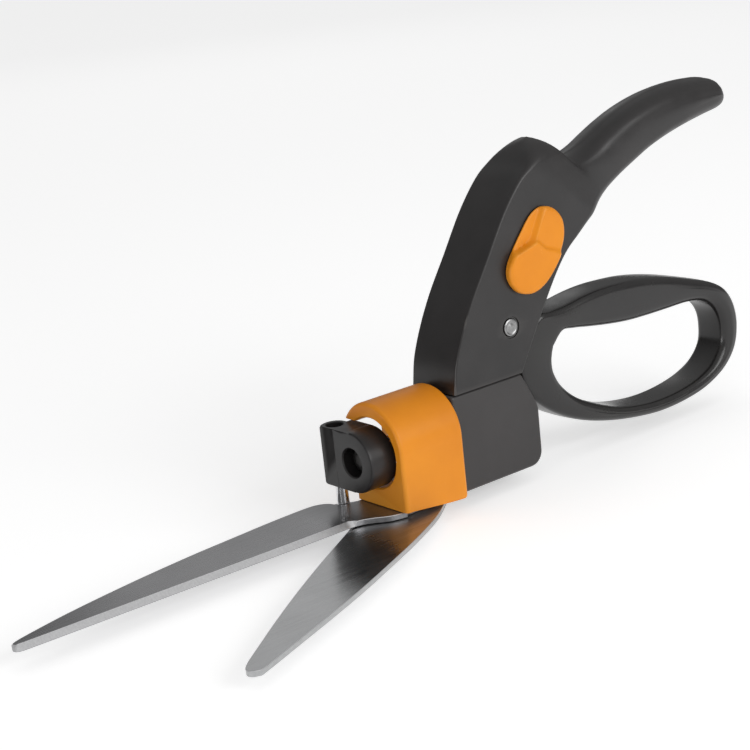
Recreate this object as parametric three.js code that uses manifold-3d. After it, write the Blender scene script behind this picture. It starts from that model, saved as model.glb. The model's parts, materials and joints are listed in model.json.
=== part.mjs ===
// Grass shears with a swivelling head: one hand squeezes the finger loop towards the palm rest,
// the loop's lever pulls a draw rod, and the rod swings the lower blade under the fixed one.
// Millimetres. +X points to the blade tips, +Y to the side with the lock button, +Z up.
// The origin is on the flat underside of the housing, in the mid-plane, below the lever pivot.
import * as THREE from "three";
import { mergeVertices } from "three/addons/utils/BufferGeometryUtils.js";
import Module from "manifold-3d";

const wasm = await Module();
wasm.setup();

// ---------------------------------------------------------------- driving dimensions
const GAP = 0.3; // between pieces that touch or run on each other
const FIT = 0.15; // between a hole and the pin fixed in it
const PAST = 1; // how far a cutting tool runs beyond the faces it opens
const ROUND = 16; // facets of a small round piece
const SMOOTH = 28; // facets of a large round piece
const SWIVEL_Z = 21.5; // height of the swivel axis, which runs along X
const RIVET_Z = 55.7; // height of the lever pivot, at x = 0
const STROKE = 13.5; // travel of the draw rod
const BLADE_OPEN = THREE.MathUtils.degToRad(32); // angle of the lower blade at rest

// Handle: half widths run along Y, and radii are those of round pieces.
const ARM = { half: 12, wall: 2.6, bottom: 37.5, front: 29.5, edge: 0.6, domeZ: 111, dome: 10.2 };
const TAIL = { half: 9.7, rounding: 2.6 };
const RIVET = { radius: 3.3, proud: 0.3 };
const HOUSING = { front: 31, rear: -11.2, half: 11.5, wall: 2.2, top: 37.1, corner: 5.5, edge: 0.8 };
const HOUSING_SCREWS = [[21, 41.5], [2, 41.5]];
const SCREW = { shank: 1.2, tip: 7.3, head: 1.45, sunk: 0.3, thick: 1, slot: 0.2 };
const TAB = { half: 4, inner: 6.9, low: 32, high: 45.5, root: 36.6 };
const DETENT = { z: SWIVEL_Z + 11.6, ball: 1.8, ballX: 30.1, back: 23.4, coil: 1.2, wire: 0.3 };
const TRACK = { half: 1.5, deep: 0.55, dimples: 8 };

// Lever, rod and block.
const LOOP = { half: 8.2, web: 4.5, rounding: 2.4, edge: 0.6, hub: 7.4, bore: 5.2 };
const SECTOR = { near: 4, half: 6, radius: 16, root: 0.4 };
const NOTCH = { near: 11.2, far: 17.5, half: 1.45, root: 0.6 };
const LINK = { x: 11, radius: 2, half: 7.7 };
const CLEVIS = { rear: 6.1, front: 22.6, mouth: 18.2, half: 7.8, tall: 4.8 };
const ROD = { radius: 2.5, rear: 18.6, front: 66.2 };
const ROD_NUT = { radius: 4.6, rear: 63.8, front: 65.8, edge: 0.3 };
const BLOCK = { front: 69.8, rear: 58.3, radius: 11.3, tall: 11, edge: 0.8 };
const EYE = { x: 65.7, y: -13.2, radius: 5.5, dimple: 3.2, deep: 2.2 };
const POCKET = { front: 5.35, frontX: 63.4, rear: 6.9, rearX: 61.4 };
const DRIVE_PIN = { radius: 2.3, foot: 1.9, groove: 0.5 };
const RETURN_SPRING = { radius: 5.2, wire: 0.55, turns: 5.5, front: 61.2 };

// Swivelling head.
const COLLAR = { front: 60.5, rear: 31.5, half: 16.8, inner: 13.9, archZ: 24.3, edge: 1.2 };
const FLOOR = { low: 3.2, heel: 0.2 }; // of the collar, at its front and at its rear
const WINDOW = { rear: 42, side: -3, low: 10, high: 33.4 };
const RING = { bore: 13, z: 22.6, back: 38.2 };
const SPIGOT = { radius: 7.2, bore: 2.8, flange: 9, rear: 26.3, flangeFront: 28.5, nose: 41 };
const CLIP = { outer: 10.4, bite: 0.5, rear: 0.4, front: 1.4, mouth: 3 };
const BUSH = { outer: 8.6, rear: 31.7 };
const PIVOT = { x: 46.5, y: 0 };
const BOLT = { radius: 3.5, head: 5.4, headLow: 6.9, headHigh: 9.3, nut: 7.2, low: -6, seat: 6.6 };
const SEAT_TOP = 12; // holes through the collar's floor stop here
const BLADE_SCREWS = [[37.4, -6.4], [37.4, 9]];
const BLADE_SCREW = { shank: 1.3, hole: 1.6, top: 7.2, head: 2.8, thick: 0.8 };
const UPPER = { low: 0.9, high: 2.9 };
const LOWER = { low: -1.5, high: 0.5, bore: 5.5, bush: 5.2 };
const GRIND = { angle: 0.42, wide: 6, thick: 4 };
const WASHER = { radius: 7, low: -2.5, high: -1.9 };
const PIN_SLOT = { rear: 50.4, clear: 0.5 };

// Lock.
const LOCK = { centre: 29.6, travel: 5, tip: 16.8, tipHalf: 1.1, half: 5, neck: 2.5, slot: 2.9 };
const CAP = { thick: 3.1, hump: 4.9, edge: 1.2 };
const CATCH = { low: 5.3, high: 8.3, throat: 6, shoulder: 8, end: 7 };
const LOCK_SCREW = { shank: 1.1, head: 2.4, tip: 3.9, headLow: 3.4, headHigh: 5 };

// ---------------------------------------------------------------- solids
function solid(geometry) {
  const bare = geometry.index ? geometry.clone() : geometry;
  bare.deleteAttribute("normal");
  bare.deleteAttribute("uv");
  const merged = mergeVertices(bare, 1e-4);
  const mesh = new wasm.Mesh({
    numProp: 3,
    vertProperties: merged.attributes.position.array,
    triVerts: new Uint32Array(merged.index.array),
  });
  return new wasm.Manifold(mesh);
}

function geometryOf(body) {
  const mesh = body.getMesh();
  const geometry = new THREE.BufferGeometry();
  geometry.setAttribute("position", new THREE.BufferAttribute(mesh.vertProperties, 3));
  geometry.setIndex(new THREE.BufferAttribute(mesh.triVerts, 1));
  const faceted = geometry.toNonIndexed();
  faceted.computeVertexNormals();
  return faceted;
}

const join = (...bodies) => bodies.reduce((all, body) => all.add(body));
const cut = (body, ...tools) => tools.reduce((left, tool) => left.subtract(tool), body);

// A cylinder along one axis. at gives the other two coordinates in X, Y, Z order.
function round(axis, radius, from, to, at, sides = ROUND) {
  const geometry = new THREE.CylinderGeometry(radius, radius, to - from, sides);
  const middle = (from + to) / 2;
  if (axis === "x") geometry.rotateZ(-Math.PI / 2).translate(middle, at[0], at[1]);
  if (axis === "y") geometry.translate(at[0], middle, at[1]);
  if (axis === "z") geometry.rotateX(Math.PI / 2).translate(at[0], at[1], middle);
  return solid(geometry);
}

function box(x, y, z) {
  const geometry = new THREE.BoxGeometry(x[1] - x[0], y[1] - y[0], z[1] - z[0]);
  return solid(geometry.translate((x[0] + x[1]) / 2, (y[0] + y[1]) / 2, (z[0] + z[1]) / 2));
}

// Extrusions: an outline drawn in X and Z spreads along Y, one in Y and Z along X, one in X and Y up Z.
function extruded(shape, depth, bevel, curveSegments, bevelSegments = 1) {
  return new THREE.ExtrudeGeometry(shape, {
    depth: depth - 2 * bevel,
    bevelEnabled: bevel > 0,
    bevelThickness: bevel,
    bevelSize: bevel,
    bevelOffset: -bevel,
    bevelSegments,
    curveSegments,
  }).translate(0, 0, bevel);
}

function side(shape, from, to, bevel = 0, curve = 3, rounding = 1) {
  const geometry = extruded(shape, to - from, bevel, curve, rounding);
  return solid(geometry.rotateX(Math.PI / 2).translate(0, to, 0));
}

function along(shape, from, to, bevel = 0, curve = 8) {
  const turn = new THREE.Matrix4().makeBasis(
    new THREE.Vector3(0, 1, 0),
    new THREE.Vector3(0, 0, 1),
    new THREE.Vector3(1, 0, 0),
  );
  return solid(extruded(shape, to - from, bevel, curve).applyMatrix4(turn).translate(from, 0, 0));
}

function plate(shape, from, to, bevel = 0, curve = 2) {
  return solid(extruded(shape, to - from, bevel, curve).translate(0, 0, from));
}

const vector = ([x, y]) => new THREE.Vector2(x, y);

// An outline of straight and smooth stretches: each stretch starts where the last one ended.
function outline(start, ...stretches) {
  const shape = new THREE.Shape().moveTo(...start);
  for (const { to, smooth } of stretches) {
    if (smooth) shape.splineThru(smooth.map(vector));
    else for (const point of to) shape.lineTo(...point);
  }
  return shape;
}

// A straight or bent slot of the given radius around a path of points.
function slotAround(path, radius) {
  const points = path.map(vector);
  const last = points.length - 1;
  const left = [];
  const right = [];
  points.forEach((point, i) => {
    const ahead = points[Math.min(i + 1, last)];
    const behind = points[Math.max(i - 1, 0)];
    const normal = ahead.clone().sub(behind).normalize().multiplyScalar(radius);
    left.push([point.x - normal.y, point.y + normal.x]);
    right.unshift([point.x + normal.y, point.y - normal.x]);
  });
  const cap = (from, to) => {
    const centre = [(from[0] + to[0]) / 2, (from[1] + to[1]) / 2];
    const begin = Math.atan2(from[1] - centre[1], from[0] - centre[0]);
    const steps = 6;
    return Array.from({ length: steps - 1 }, (_, i) => {
      const angle = begin - (Math.PI * (i + 1)) / steps;
      return [centre[0] + radius * Math.cos(angle), centre[1] + radius * Math.sin(angle)];
    });
  };
  const ring = [...left, ...cap(left[last], right[0]), ...right, ...cap(right[last], left[0])];
  return new THREE.Shape(ring.reverse().map(vector));
}

class Helix extends THREE.Curve {
  constructor(radius, turns, from, to, z) {
    super();
    Object.assign(this, { radius, turns, from, to, z });
  }
  getPoint(t, target = new THREE.Vector3()) {
    const angle = t * this.turns * 2 * Math.PI;
    const x = THREE.MathUtils.lerp(this.from, this.to, t);
    return target.set(x, this.radius * Math.cos(angle), this.z + this.radius * Math.sin(angle));
  }
}

// A coil spring along X, centred on y = 0.
function coil({ radius, wire, turns, from, to, z, perTurn = 12 }) {
  const section = new THREE.Shape();
  section.absarc(0, 0, wire, 0, 2 * Math.PI);
  const path = new Helix(radius, turns, from + wire, to - wire, z);
  const steps = Math.round(turns * perTurn);
  return new THREE.ExtrudeGeometry(section, { extrudePath: path, steps, curveSegments: 3 });
}

// ---------------------------------------------------------------- materials
const plastic = (color, roughness = 0.35) =>
  new THREE.MeshStandardMaterial({ color, roughness, metalness: 0 });
const metal = (color, roughness) =>
  new THREE.MeshStandardMaterial({ color, roughness, metalness: 1 });
const blackPlastic = () => plastic(0x2b2928);
const greyPlastic = () => plastic(0x47423f, 0.45);
const orangePlastic = () => plastic(0xe98c22, 0.35);
const steel = () => metal(0xa9a9a8, 0.3);
const bladeSteel = () => metal(0x8f9091, 0.28);
const darkSteel = () => metal(0x4a4a4a, 0.4);
const bronze = () => metal(0xa9793f, 0.4);

const shears = new THREE.Group();
function piece(name, geometry, material) {
  const mesh = new THREE.Mesh(geometry.isBufferGeometry ? geometry : geometryOf(geometry), material);
  mesh.name = name;
  shears.add(mesh);
}

// ---------------------------------------------------------------- handle arm
// Points along the line from the lever pivot to the lock, and across it.
const LOCK_LINE = new THREE.Vector2(-0.49, 0.872).normalize();
const lockPoint = (out, across) => [
  out * LOCK_LINE.x + across * LOCK_LINE.y,
  RIVET_Z + out * LOCK_LINE.y - across * LOCK_LINE.x,
];

const ARM_FRONT = [
  [27.5, 48], [23, 59], [17, 70], [9, 82],
  [-1, 97], [-10, 107.5], [-16.4, 112.7], [-20, 116.4],
];
const ARM_CROWN = [[-24, 119.5], [-28, 120.4], [-31.2, 118], [-33.8, 114.8], [-37.2, 112.4]];
const ARM_REAR = [[-41, 82.8], [-32.8, 77.6], [-26, 70.8], [-20.6, 63.4], [-16, 56]];
const ARM_HEEL = [[-12, 50.2], [-8, 43.6], [-4.2, ARM.bottom]];
const TAIL_TOP = [
  [-44, 111.9], [-52, 113.4], [-60, 116.5], [-70, 121],
  [-80, 124.4], [-92, 127], [-104, 128.5],
];
const TAIL_TIP = [[-116, 128.7], [-124, 127.6], [-129.6, 124.4], [-131.8, 119.4], [-129.4, 115.2]];
const TAIL_UNDER = [
  [-120, 113.6], [-106, 111.4], [-92, 108], [-78, 103.2],
  [-64, 96.8], [-52, 90], [-41, 82.8],
];
const PALM_PLAN = [[-36, 11.2], [-47, 9.4], [-62, 9.2], [-90, 9.8], [-114, 9], [-128, 6.8], [-134.5, 0]];
const HOLLOW_FRONT = [[24.6, 47], [20, 58], [14, 69], [6, 81], [-4, 94], [-13, 103], [-22, 109]];
const HOLLOW_REAR = [[-30, 108], [-34, 98], [-40, 88], [-50, 76], [-40, 60], [-20, ARM.bottom - 5]];

function handleArm() {
  const profile = outline(
    [ARM.front, ARM.bottom],
    { smooth: ARM_FRONT },
    { smooth: ARM_CROWN },
    { to: [[-45, 85.2]] },
    { smooth: [...ARM_REAR, ...ARM_HEEL] },
  );
  // Across its width the crown is a dome.
  const { half, domeZ, dome } = ARM;
  const section = new THREE.Shape()
    .moveTo(half, ARM.bottom - PAST)
    .lineTo(half, domeZ)
    .absellipse(0, domeZ, half, dome, 0, Math.PI, false, 0)
    .lineTo(-half, ARM.bottom - PAST);
  const domed = along(section, ARM_REAR[0][0] - 10, ARM.front + PAST, 0, 8);
  const body = side(profile, -half, half, ARM.edge, 2).intersect(domed);
  const tailProfile = outline(
    [-31, 109],
    { smooth: [ARM_CROWN.at(-1), ...TAIL_TOP, ...TAIL_TIP] },
    { smooth: TAIL_UNDER },
    { to: [[-31, 78]] },
  );
  const tail = side(tailProfile, -TAIL.half, TAIL.half, TAIL.rounding, 2, 3);
  // Seen from above, the arm narrows behind its crown into the rounded palm rest.
  const wide = half + PAST;
  const farPlan = PALM_PLAN.slice(0, -1).map(([x, y]) => [x, -y]).reverse();
  const plan = outline(
    [ARM.front + PAST, wide],
    { to: [[-26, wide]] },
    { smooth: PALM_PLAN },
    { smooth: farPlan },
    { to: [[-26, -wide], [ARM.front + PAST, -wide]] },
  );
  const hollowX = ARM.front - ARM.wall - GAP;
  const inside = outline(
    [hollowX, ARM.bottom - 5],
    { to: [[hollowX, ARM.bottom]] },
    { smooth: HOLLOW_FRONT },
    { to: HOLLOW_REAR },
  );
  const inner = half - ARM.wall;
  const lockSlot = slotAround(
    [lockPoint(LOCK.centre - LOCK.travel, 0), lockPoint(LOCK.centre, 0)],
    LOCK.slot,
  );
  const rivetHole = round("y", RIVET.radius + GAP, -wide, wide, [0, RIVET_Z]);
  const screwHoles = HOUSING_SCREWS.map((at) => round("y", SCREW.head + 0.35, -wide, PAST - inner, at));
  return cut(
    join(body, tail).intersect(plate(plan, ARM.bottom - PAST, 131)),
    side(inside, -inner, inner),
    rivetHole,
    side(lockSlot, inner - PAST, wide),
    ...screwHoles,
  );
}

// ---------------------------------------------------------------- housing under the arm
function lowerHousing() {
  const { front, rear, half, wall, top, corner, edge } = HOUSING;
  const profile = new THREE.Shape()
    .moveTo(front, 0)
    .lineTo(front, top)
    .lineTo(-3.8, top)
    .quadraticCurveTo(-7.6, 30, -10.6, 24)
    .lineTo(rear, 22)
    .lineTo(rear, corner)
    .absarc(rear + corner, corner, corner, Math.PI, 1.5 * Math.PI, false)
    .lineTo(front, 0);
  const shell = side(profile, -half, half, edge);
  const inside = outline([front - wall, wall], {
    to: [
      [front - wall, top + 9],
      [rear - 4, top + 9],
      [rear - 4, 23],
      [rear + wall, 19],
      [rear + wall, corner + 0.6],
      [rear + corner + 0.6, wall],
    ],
  });
  const inner = half - wall;
  // Two tabs on each side stand up inside the arm, and the screws go into the far ones.
  const tab = (x, sign) => {
    const across = (from, to) => [sign * from, sign * to].sort((a, b) => a - b);
    const length = [x - TAB.half, x + TAB.half];
    return join(
      box(length, across(TAB.inner, inner - 0.1), [TAB.low, TAB.high]),
      box(length, across(TAB.inner, inner + 0.6), [TAB.low, TAB.root]),
    );
  };
  const tabs = HOUSING_SCREWS.flatMap(([x]) => [tab(x, -1), tab(x, 1)]);
  const boss = box([DETENT.back - 1.2, front - 1], [-3.2, 3.2], [DETENT.z - 2.6, DETENT.z + 3.2]);
  return cut(
    join(cut(shell, side(inside, -inner, inner)), boss, ...tabs),
    round("x", SPIGOT.radius + GAP, front - 6, front + PAST, [0, SWIVEL_Z], SMOOTH),
    round("x", DETENT.ball + 0.25, DETENT.back, front + PAST, [0, DETENT.z]),
    ...HOUSING_SCREWS.map((at) => round("y", SCREW.shank + GAP, -inner - PAST, -TAB.inner + 0.4, at)),
  );
}

function housingScrew([x, z]) {
  const { shank, tip, head, sunk, thick, slot } = SCREW;
  const face = -ARM.half + sunk;
  return join(
    round("y", shank, face + 0.9, -tip, [x, z]),
    cut(
      round("y", head, face, face + thick, [x, z], 20),
      box([x - PAST, x + PAST], [face - sunk, face + 0.5], [z - slot, z + slot]),
    ),
  );
}

// ---------------------------------------------------------------- finger loop and its lever
const LOOP_TOP = [[-24, 54.6], [-34, 55.6], [-44, 57], [-54, 57.7], [-65, 57.4], [-76, 56.4], [-90, 53.7]];
const LOOP_BACK = [[-105, 49.5], [-116.5, 45.8], [-124, 41], [-128.6, 34.2], [-130.3, 25.4], [-128, 15.8]];
const LOOP_BASE = [[-121, 8.4], [-110, 3.3], [-97, 0.8], [-83, 0], [-70, 1.1], [-55, 3.6], [-40, 7.7]];
const LOOP_NECK = [[-27, 13.4], [-17, 20], [-11.6, 24.6], [-8.4, 31], [-5.4, 36.8]];
const LOOP_SHOULDER = [[-8.9, 43.4], [-13.4, 50], [-18, 54.6]];
const HOLE_TOP = [[-30, 46.2], [-44, 44.2], [-58, 42], [-72, 40.6], [-88, 40.4], [-101, 40.6]];
const HOLE_BACK = [[-110, 39.2], [-117, 34.6], [-120.4, 27], [-120, 18.6], [-114, 11.4]];
const HOLE_BASE = [[-101, 6.8], [-88, 5.3], [-74, 5.6], [-60, 8], [-47, 12.6], [-35, 19]];
const HOLE_NECK = [[-27, 26.4], [-24.2, 34], [-25.8, 41]];
const LEVER_FRONT = [[-24, 54], [-10, 65], [-3, 67], [6, 63.5], [10.2, 55], [11.4, 44], [16.2, 24]];
const LEVER_FOOT = [[15.2, 18.2], [11.6, 15.9], [7.4, 17], [5.4, 20]];
const LEVER_REAR = [[0, 34], [-5, 40], [-14, 46]];
const SECTOR_TURNS = [-38, -24, -12, 0, 12, 24];

// A notch in the sector, turned by the given angle about the lever pivot.
function sectorNotch(turn) {
  const { near, far, half, root } = NOTCH;
  const corners = [[near, -half], [near, half], [far, half], [far, -half]].map((corner) => {
    const { x, y } = vector(corner).rotateAround(new THREE.Vector2(), turn);
    return vector(lockPoint(x, y));
  });
  return side(new THREE.Shape(corners), LOOP.web - root, LOOP.half + PAST);
}

function fingerLoop() {
  const { half, web } = LOOP;
  const ring = outline(
    LOOP_SHOULDER.at(-1),
    { smooth: [...LOOP_TOP, ...LOOP_BACK, ...LOOP_BASE, ...LOOP_NECK] },
    { smooth: LOOP_SHOULDER },
  );
  const hole = outline(HOLE_TOP[0], {
    smooth: [...HOLE_TOP.slice(1), ...HOLE_BACK, ...HOLE_BASE, ...HOLE_NECK, HOLE_TOP[0]],
  });
  const bar = cut(
    side(ring, -half, half, LOOP.rounding, 2, 2),
    side(hole, -half - PAST, half + PAST, 0, 2),
  );
  const arm = outline(
    LEVER_FRONT[0],
    { to: LEVER_FRONT.slice(1) },
    { smooth: LEVER_FOOT },
    { to: LEVER_REAR },
  );
  // The sector beside the hub takes the lock's tip in one of two notches.
  const rim = SECTOR_TURNS.map(THREE.MathUtils.degToRad).map((turn) =>
    lockPoint(SECTOR.radius * Math.cos(turn), SECTOR.radius * Math.sin(turn)),
  );
  const sector = outline(
    lockPoint(SECTOR.near, -SECTOR.half),
    { to: [...rim, lockPoint(SECTOR.near, SECTOR.half)] },
  );
  const drop = RIVET_Z - SWIVEL_Z;
  const tilt = Math.atan2(LINK.x, drop);
  const swing = tilt + Math.atan2(STROKE - LINK.x, drop);
  // The link pin runs straight, so its slot is a little longer than the pin is wide.
  const linkReach = [drop - 0.1, Math.hypot(LINK.x, drop) + 0.1].map((reach) => [
    reach * Math.sin(tilt),
    RIVET_Z - reach * Math.cos(tilt),
  ]);
  return cut(
    join(
      bar,
      side(arm, -web, web, LOOP.edge),
      side(sector, web - SECTOR.root, half),
      round("y", LOOP.hub, -half, half, [0, RIVET_Z], SMOOTH),
    ),
    round("y", LOOP.bore, -half - PAST, half + PAST, [0, RIVET_Z], SMOOTH),
    side(slotAround(linkReach, LINK.radius + GAP), -web - PAST, web + PAST),
    sectorNotch(0),
    sectorNotch(-swing),
  );
}

function tube(axis, outer, inner, from, to, at, sides = SMOOTH) {
  return cut(
    round(axis, outer, from, to, at, sides),
    round(axis, inner, from - PAST, to + PAST, at, sides),
  );
}

// ---------------------------------------------------------------- draw rod
function rodClevis() {
  const { rear, front, mouth, half, tall } = CLEVIS;
  const slot = LOOP.web + 0.4;
  const opening = tall + PAST;
  return cut(
    box([rear, front], [-half, half], [SWIVEL_Z - tall, SWIVEL_Z + tall]),
    box([rear - PAST, mouth], [-slot, slot], [SWIVEL_Z - opening, SWIVEL_Z + opening]),
    round("y", LINK.radius + FIT, -half - PAST, half + PAST, [LINK.x, SWIVEL_Z]),
    round("x", ROD.radius + FIT, mouth - PAST, front + PAST, [0, SWIVEL_Z]),
  );
}

function hexagon(radius, at) {
  const corners = Array.from({ length: 6 }, (_, i) => (i * Math.PI) / 3);
  return new THREE.Shape(
    corners.map((turn) => vector([at[0] + radius * Math.cos(turn), at[1] + radius * Math.sin(turn)])),
  );
}

// ---------------------------------------------------------------- swivelling head
// The collar's section: straight sides under a half circle.
function archShape(half, bottom) {
  return new THREE.Shape()
    .moveTo(half, bottom)
    .lineTo(half, COLLAR.archZ)
    .absarc(0, COLLAR.archZ, half, 0, Math.PI, false)
    .lineTo(-half, bottom)
    .lineTo(half, bottom);
}

function swivelCollar() {
  const { front, rear, half, edge, inner } = COLLAR;
  const { low, heel } = FLOOR;
  const block = along(archShape(half, heel), rear, front, edge, 12);
  // The underside drops towards the rear along both side walls, and is flat between them.
  const under = outline([front + PAST, heel - 2], {
    to: [[front + PAST, low], [front - 3, low], [rear - PAST, heel], [rear - PAST, heel - 2]],
  });
  // The ball runs in a round track between its dimples.
  const reach = DETENT.z - SWIVEL_Z;
  const swivel = [0, SWIVEL_Z];
  const track = tube("x", reach + TRACK.half, reach - TRACK.half, rear - PAST, rear + TRACK.deep, swivel);
  const dimples = Array.from({ length: TRACK.dimples }, (_, i) => {
    const turn = (i * 2 * Math.PI) / TRACK.dimples;
    const at = [reach * Math.sin(turn), SWIVEL_Z + reach * Math.cos(turn)];
    return round("x", DETENT.ball + 0.2, rear - PAST, DETENT.ballX + DETENT.ball + GAP, at, 8);
  });
  const pivot = [PIVOT.x, PIVOT.y];
  // The drive pin's slot is open to the front and to the far side.
  const slotHalf = DRIVE_PIN.radius + PIN_SLOT.clear;
  const pinSlot = join(
    round("z", slotHalf, 0, SEAT_TOP, [PIN_SLOT.rear, EYE.y]),
    box([PIN_SLOT.rear, front + PAST], [-half - PAST, EYE.y + slotHalf], [0, SEAT_TOP]),
  );
  return cut(
    block,
    side(under, -half - PAST, half + PAST),
    box([rear - PAST, front - 2], [-inner, inner], [heel - 2, low]),
    round("x", RING.bore, RING.back, front + PAST, [0, RING.z], 36),
    round("x", BUSH.outer + GAP, rear - PAST, RING.back + PAST, swivel, SMOOTH),
    box([WINDOW.rear, front + PAST], [-half - PAST, WINDOW.side], [WINDOW.low, WINDOW.high]),
    track,
    ...dimples,
    pinSlot,
    round("z", BOLT.radius + GAP, 0, SEAT_TOP, pivot),
    round("z", BOLT.head + 0.4, BOLT.seat, SEAT_TOP, pivot, SMOOTH),
    ...BLADE_SCREWS.map((at) => round("z", BLADE_SCREW.hole, 0, BLADE_SCREW.top + 0.4, at)),
  );
}

// ---------------------------------------------------------------- blades
const UPPER_ROOT = [[34, -9.9], [63.5, -9.9]];
const UPPER_STEP = [[66.9, -10.6], [68.8, -13.4], [69.8, -16.6], [72.6, -18.8], [78, -19.9]];
const UPPER_BACK = [[94, -19.4], [112, -17.9], [130, -16.3], [150, -13.6], [168, -10.6], [184, -7.4]];
const UPPER_TIP = [[196, -4.4], [204, -2.1], [207.4, -0.6], [208.4, 1.2], [207.6, 2.7], [205.6, 3.3]];
const UPPER_EDGE = [[200, 3.5], [182, 3.9], [150, 4.6], [104, 5.7], [80, 6], [74.6, 6.4]];
const UPPER_HEEL = [[70, 8.6], [64.5, 12.6], [58.6, 14.4]];
const UPPER_REAR = [[56.4, 12.9], [34, 12.6]];

function upperBlade() {
  const shape = outline(
    UPPER_ROOT[0],
    { to: [UPPER_ROOT[1]] },
    { smooth: UPPER_STEP },
    { smooth: UPPER_BACK },
    { smooth: UPPER_TIP },
    { smooth: UPPER_EDGE },
    { smooth: UPPER_HEEL },
    { to: UPPER_REAR },
  );
  // The cutting side is ground from above.
  const grind = new THREE.BoxGeometry(136, GRIND.wide, GRIND.thick)
    .rotateX(-GRIND.angle)
    .rotateZ(-0.016)
    .translate(144.5, 6.8, UPPER.high + 1.35);
  return cut(
    plate(shape, UPPER.low, UPPER.high),
    solid(grind),
    round("z", BOLT.radius + GAP, 0, UPPER.high + PAST, [PIVOT.x, PIVOT.y]),
    ...BLADE_SCREWS.flatMap((at) => [
      round("z", BLADE_SCREW.shank + 0.4, 0, UPPER.high + PAST, at),
      round("z", BLADE_SCREW.head + GAP, 0, UPPER.low + BLADE_SCREW.thick + GAP, at),
    ]),
  );
}

// The lower blade is drawn closed, with its pivot at the origin.
const LOWER_HEEL = [[-4, 13.8], [-11, 7.4], [-12.2, -1], [-8, -9], [-1, -15.2], [2.4, -20.4]];
const LOWER_LOBE = [[5.2, -26.4], [11, -28.2], [15.6, -24.6], [16.4, -18.4], [21, -13.4], [30, -12.1]];
const LOWER_BACK = [[60, -11.6], [85, -10.6], [106, -9.2], [124, -7.6], [136, -6.4]];
const LOWER_TIP = [[140.6, -5], [141.8, -2.6], [140, 0]];
const LOWER_EDGE = [[130, 1.8], [118, 3.8], [100, 6.9], [80, 10], [60, 12.4], [36, 14.8], [14, 15.6]];

function lowerBlade() {
  const shape = outline(
    LOWER_HEEL[0],
    { smooth: LOWER_HEEL.slice(1) },
    { smooth: LOWER_LOBE },
    { smooth: LOWER_BACK },
    { smooth: LOWER_TIP },
    { smooth: [...LOWER_EDGE, LOWER_HEEL[0]] },
  );
  // The slot follows the drive pin as the blade turns evenly with the pin's straight travel.
  const steps = 8;
  const path = Array.from({ length: steps + 1 }, (_, i) => {
    const done = i / steps;
    const pin = new THREE.Vector2(EYE.x - PIVOT.x - STROKE * done, EYE.y - PIVOT.y);
    pin.rotateAround(new THREE.Vector2(), -BLADE_OPEN * (1 - done));
    return pin.toArray();
  });
  const grind = new THREE.BoxGeometry(112, GRIND.wide, GRIND.thick)
    .rotateX(-GRIND.angle)
    .rotateZ(0.03)
    .translate(86, -14.1, LOWER.low - 0.95);
  const through = [LOWER.low - PAST, LOWER.high + PAST];
  const closed = cut(
    plate(shape, LOWER.low, LOWER.high),
    solid(grind),
    plate(slotAround(path, DRIVE_PIN.radius + 0.4), ...through),
    round("z", LOWER.bore, ...through, [0, 0], SMOOTH),
  );
  const degrees = THREE.MathUtils.radToDeg(BLADE_OPEN);
  return closed.rotate([0, 0, degrees]).translate([PIVOT.x, PIVOT.y, 0]);
}

// ---------------------------------------------------------------- coupling block
function couplingBlock() {
  const { front, rear, radius, tall, edge } = BLOCK;
  const swivel = [0, SWIVEL_Z];
  const eye = [EYE.x, EYE.y];
  const [low, high] = [SWIVEL_Z - tall, SWIVEL_Z + tall];
  const drum = along(new THREE.Shape().absarc(0, SWIVEL_Z, radius, 0, 2 * Math.PI), rear, front, edge, 12);
  const bridge = box([rear, front - 0.2], [EYE.y + 1, 0], [low, high]);
  return cut(
    join(drum, bridge, round("z", EYE.radius, low, high, eye, SMOOTH)),
    round("x", POCKET.front, POCKET.frontX, front + PAST, swivel, SMOOTH),
    round("x", ROD.radius + GAP, rear - PAST, front, swivel),
    round("x", POCKET.rear, rear - PAST, POCKET.rearX, swivel, SMOOTH),
    round("z", EYE.dimple, high - EYE.deep, high + PAST, eye),
    round("z", DRIVE_PIN.radius + FIT, low - PAST, high - EYE.deep + 0.2, eye),
  );
}

function drivePin() {
  const { radius, foot, groove } = DRIVE_PIN;
  const eye = [EYE.x, EYE.y];
  return cut(
    round("z", radius, LOWER.low - foot, SWIVEL_Z + BLOCK.tall - EYE.deep - 0.4, eye),
    tube("z", radius + PAST, radius - groove, LOWER.low - 1.2, LOWER.low - 0.4, eye, ROUND),
  );
}

// ---------------------------------------------------------------- lock
// Outlines measured along and across the lock's line, from the button's middle.
const CAP_OUTLINE = [
  [-16.5, 1], [-12, 9.4], [-2, 11.8], [8, 9.4], [15.4, 3.6], [16.2, -3.6],
  [10, -9], [0, -11.2], [-10, -9.2], [-15.6, -4],
];
const HUMP_OUTLINE = [[-4, -8], [-3.4, 9], [4, 7], [9, 2], [8.4, -4.4], [3, -8]];

function lockButton() {
  const onButton = ([out, across]) => lockPoint(LOCK.centre + out, across);
  const rim = CAP_OUTLINE.map(onButton);
  const base = outline(rim[0], { smooth: [...rim.slice(1), rim[0]] });
  const cap = side(base, ARM.half + GAP, ARM.half + GAP + CAP.thick, CAP.edge, 2);
  const ridge = HUMP_OUTLINE.map(onButton);
  const hump = side(
    outline(ridge[0], { to: ridge.slice(1) }),
    ARM.half + PAST,
    ARM.half + GAP + CAP.hump,
    CAP.edge,
  );
  const middle = lockPoint(LOCK.centre, 0);
  const stem = round("y", LOCK.neck, CATCH.high + GAP, ARM.half + PAST, middle);
  return cut(
    join(cap, hump, stem),
    round("y", LOCK_SCREW.shank + GAP, 0, ARM.half + PAST + 0.4, middle),
  );
}

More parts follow.
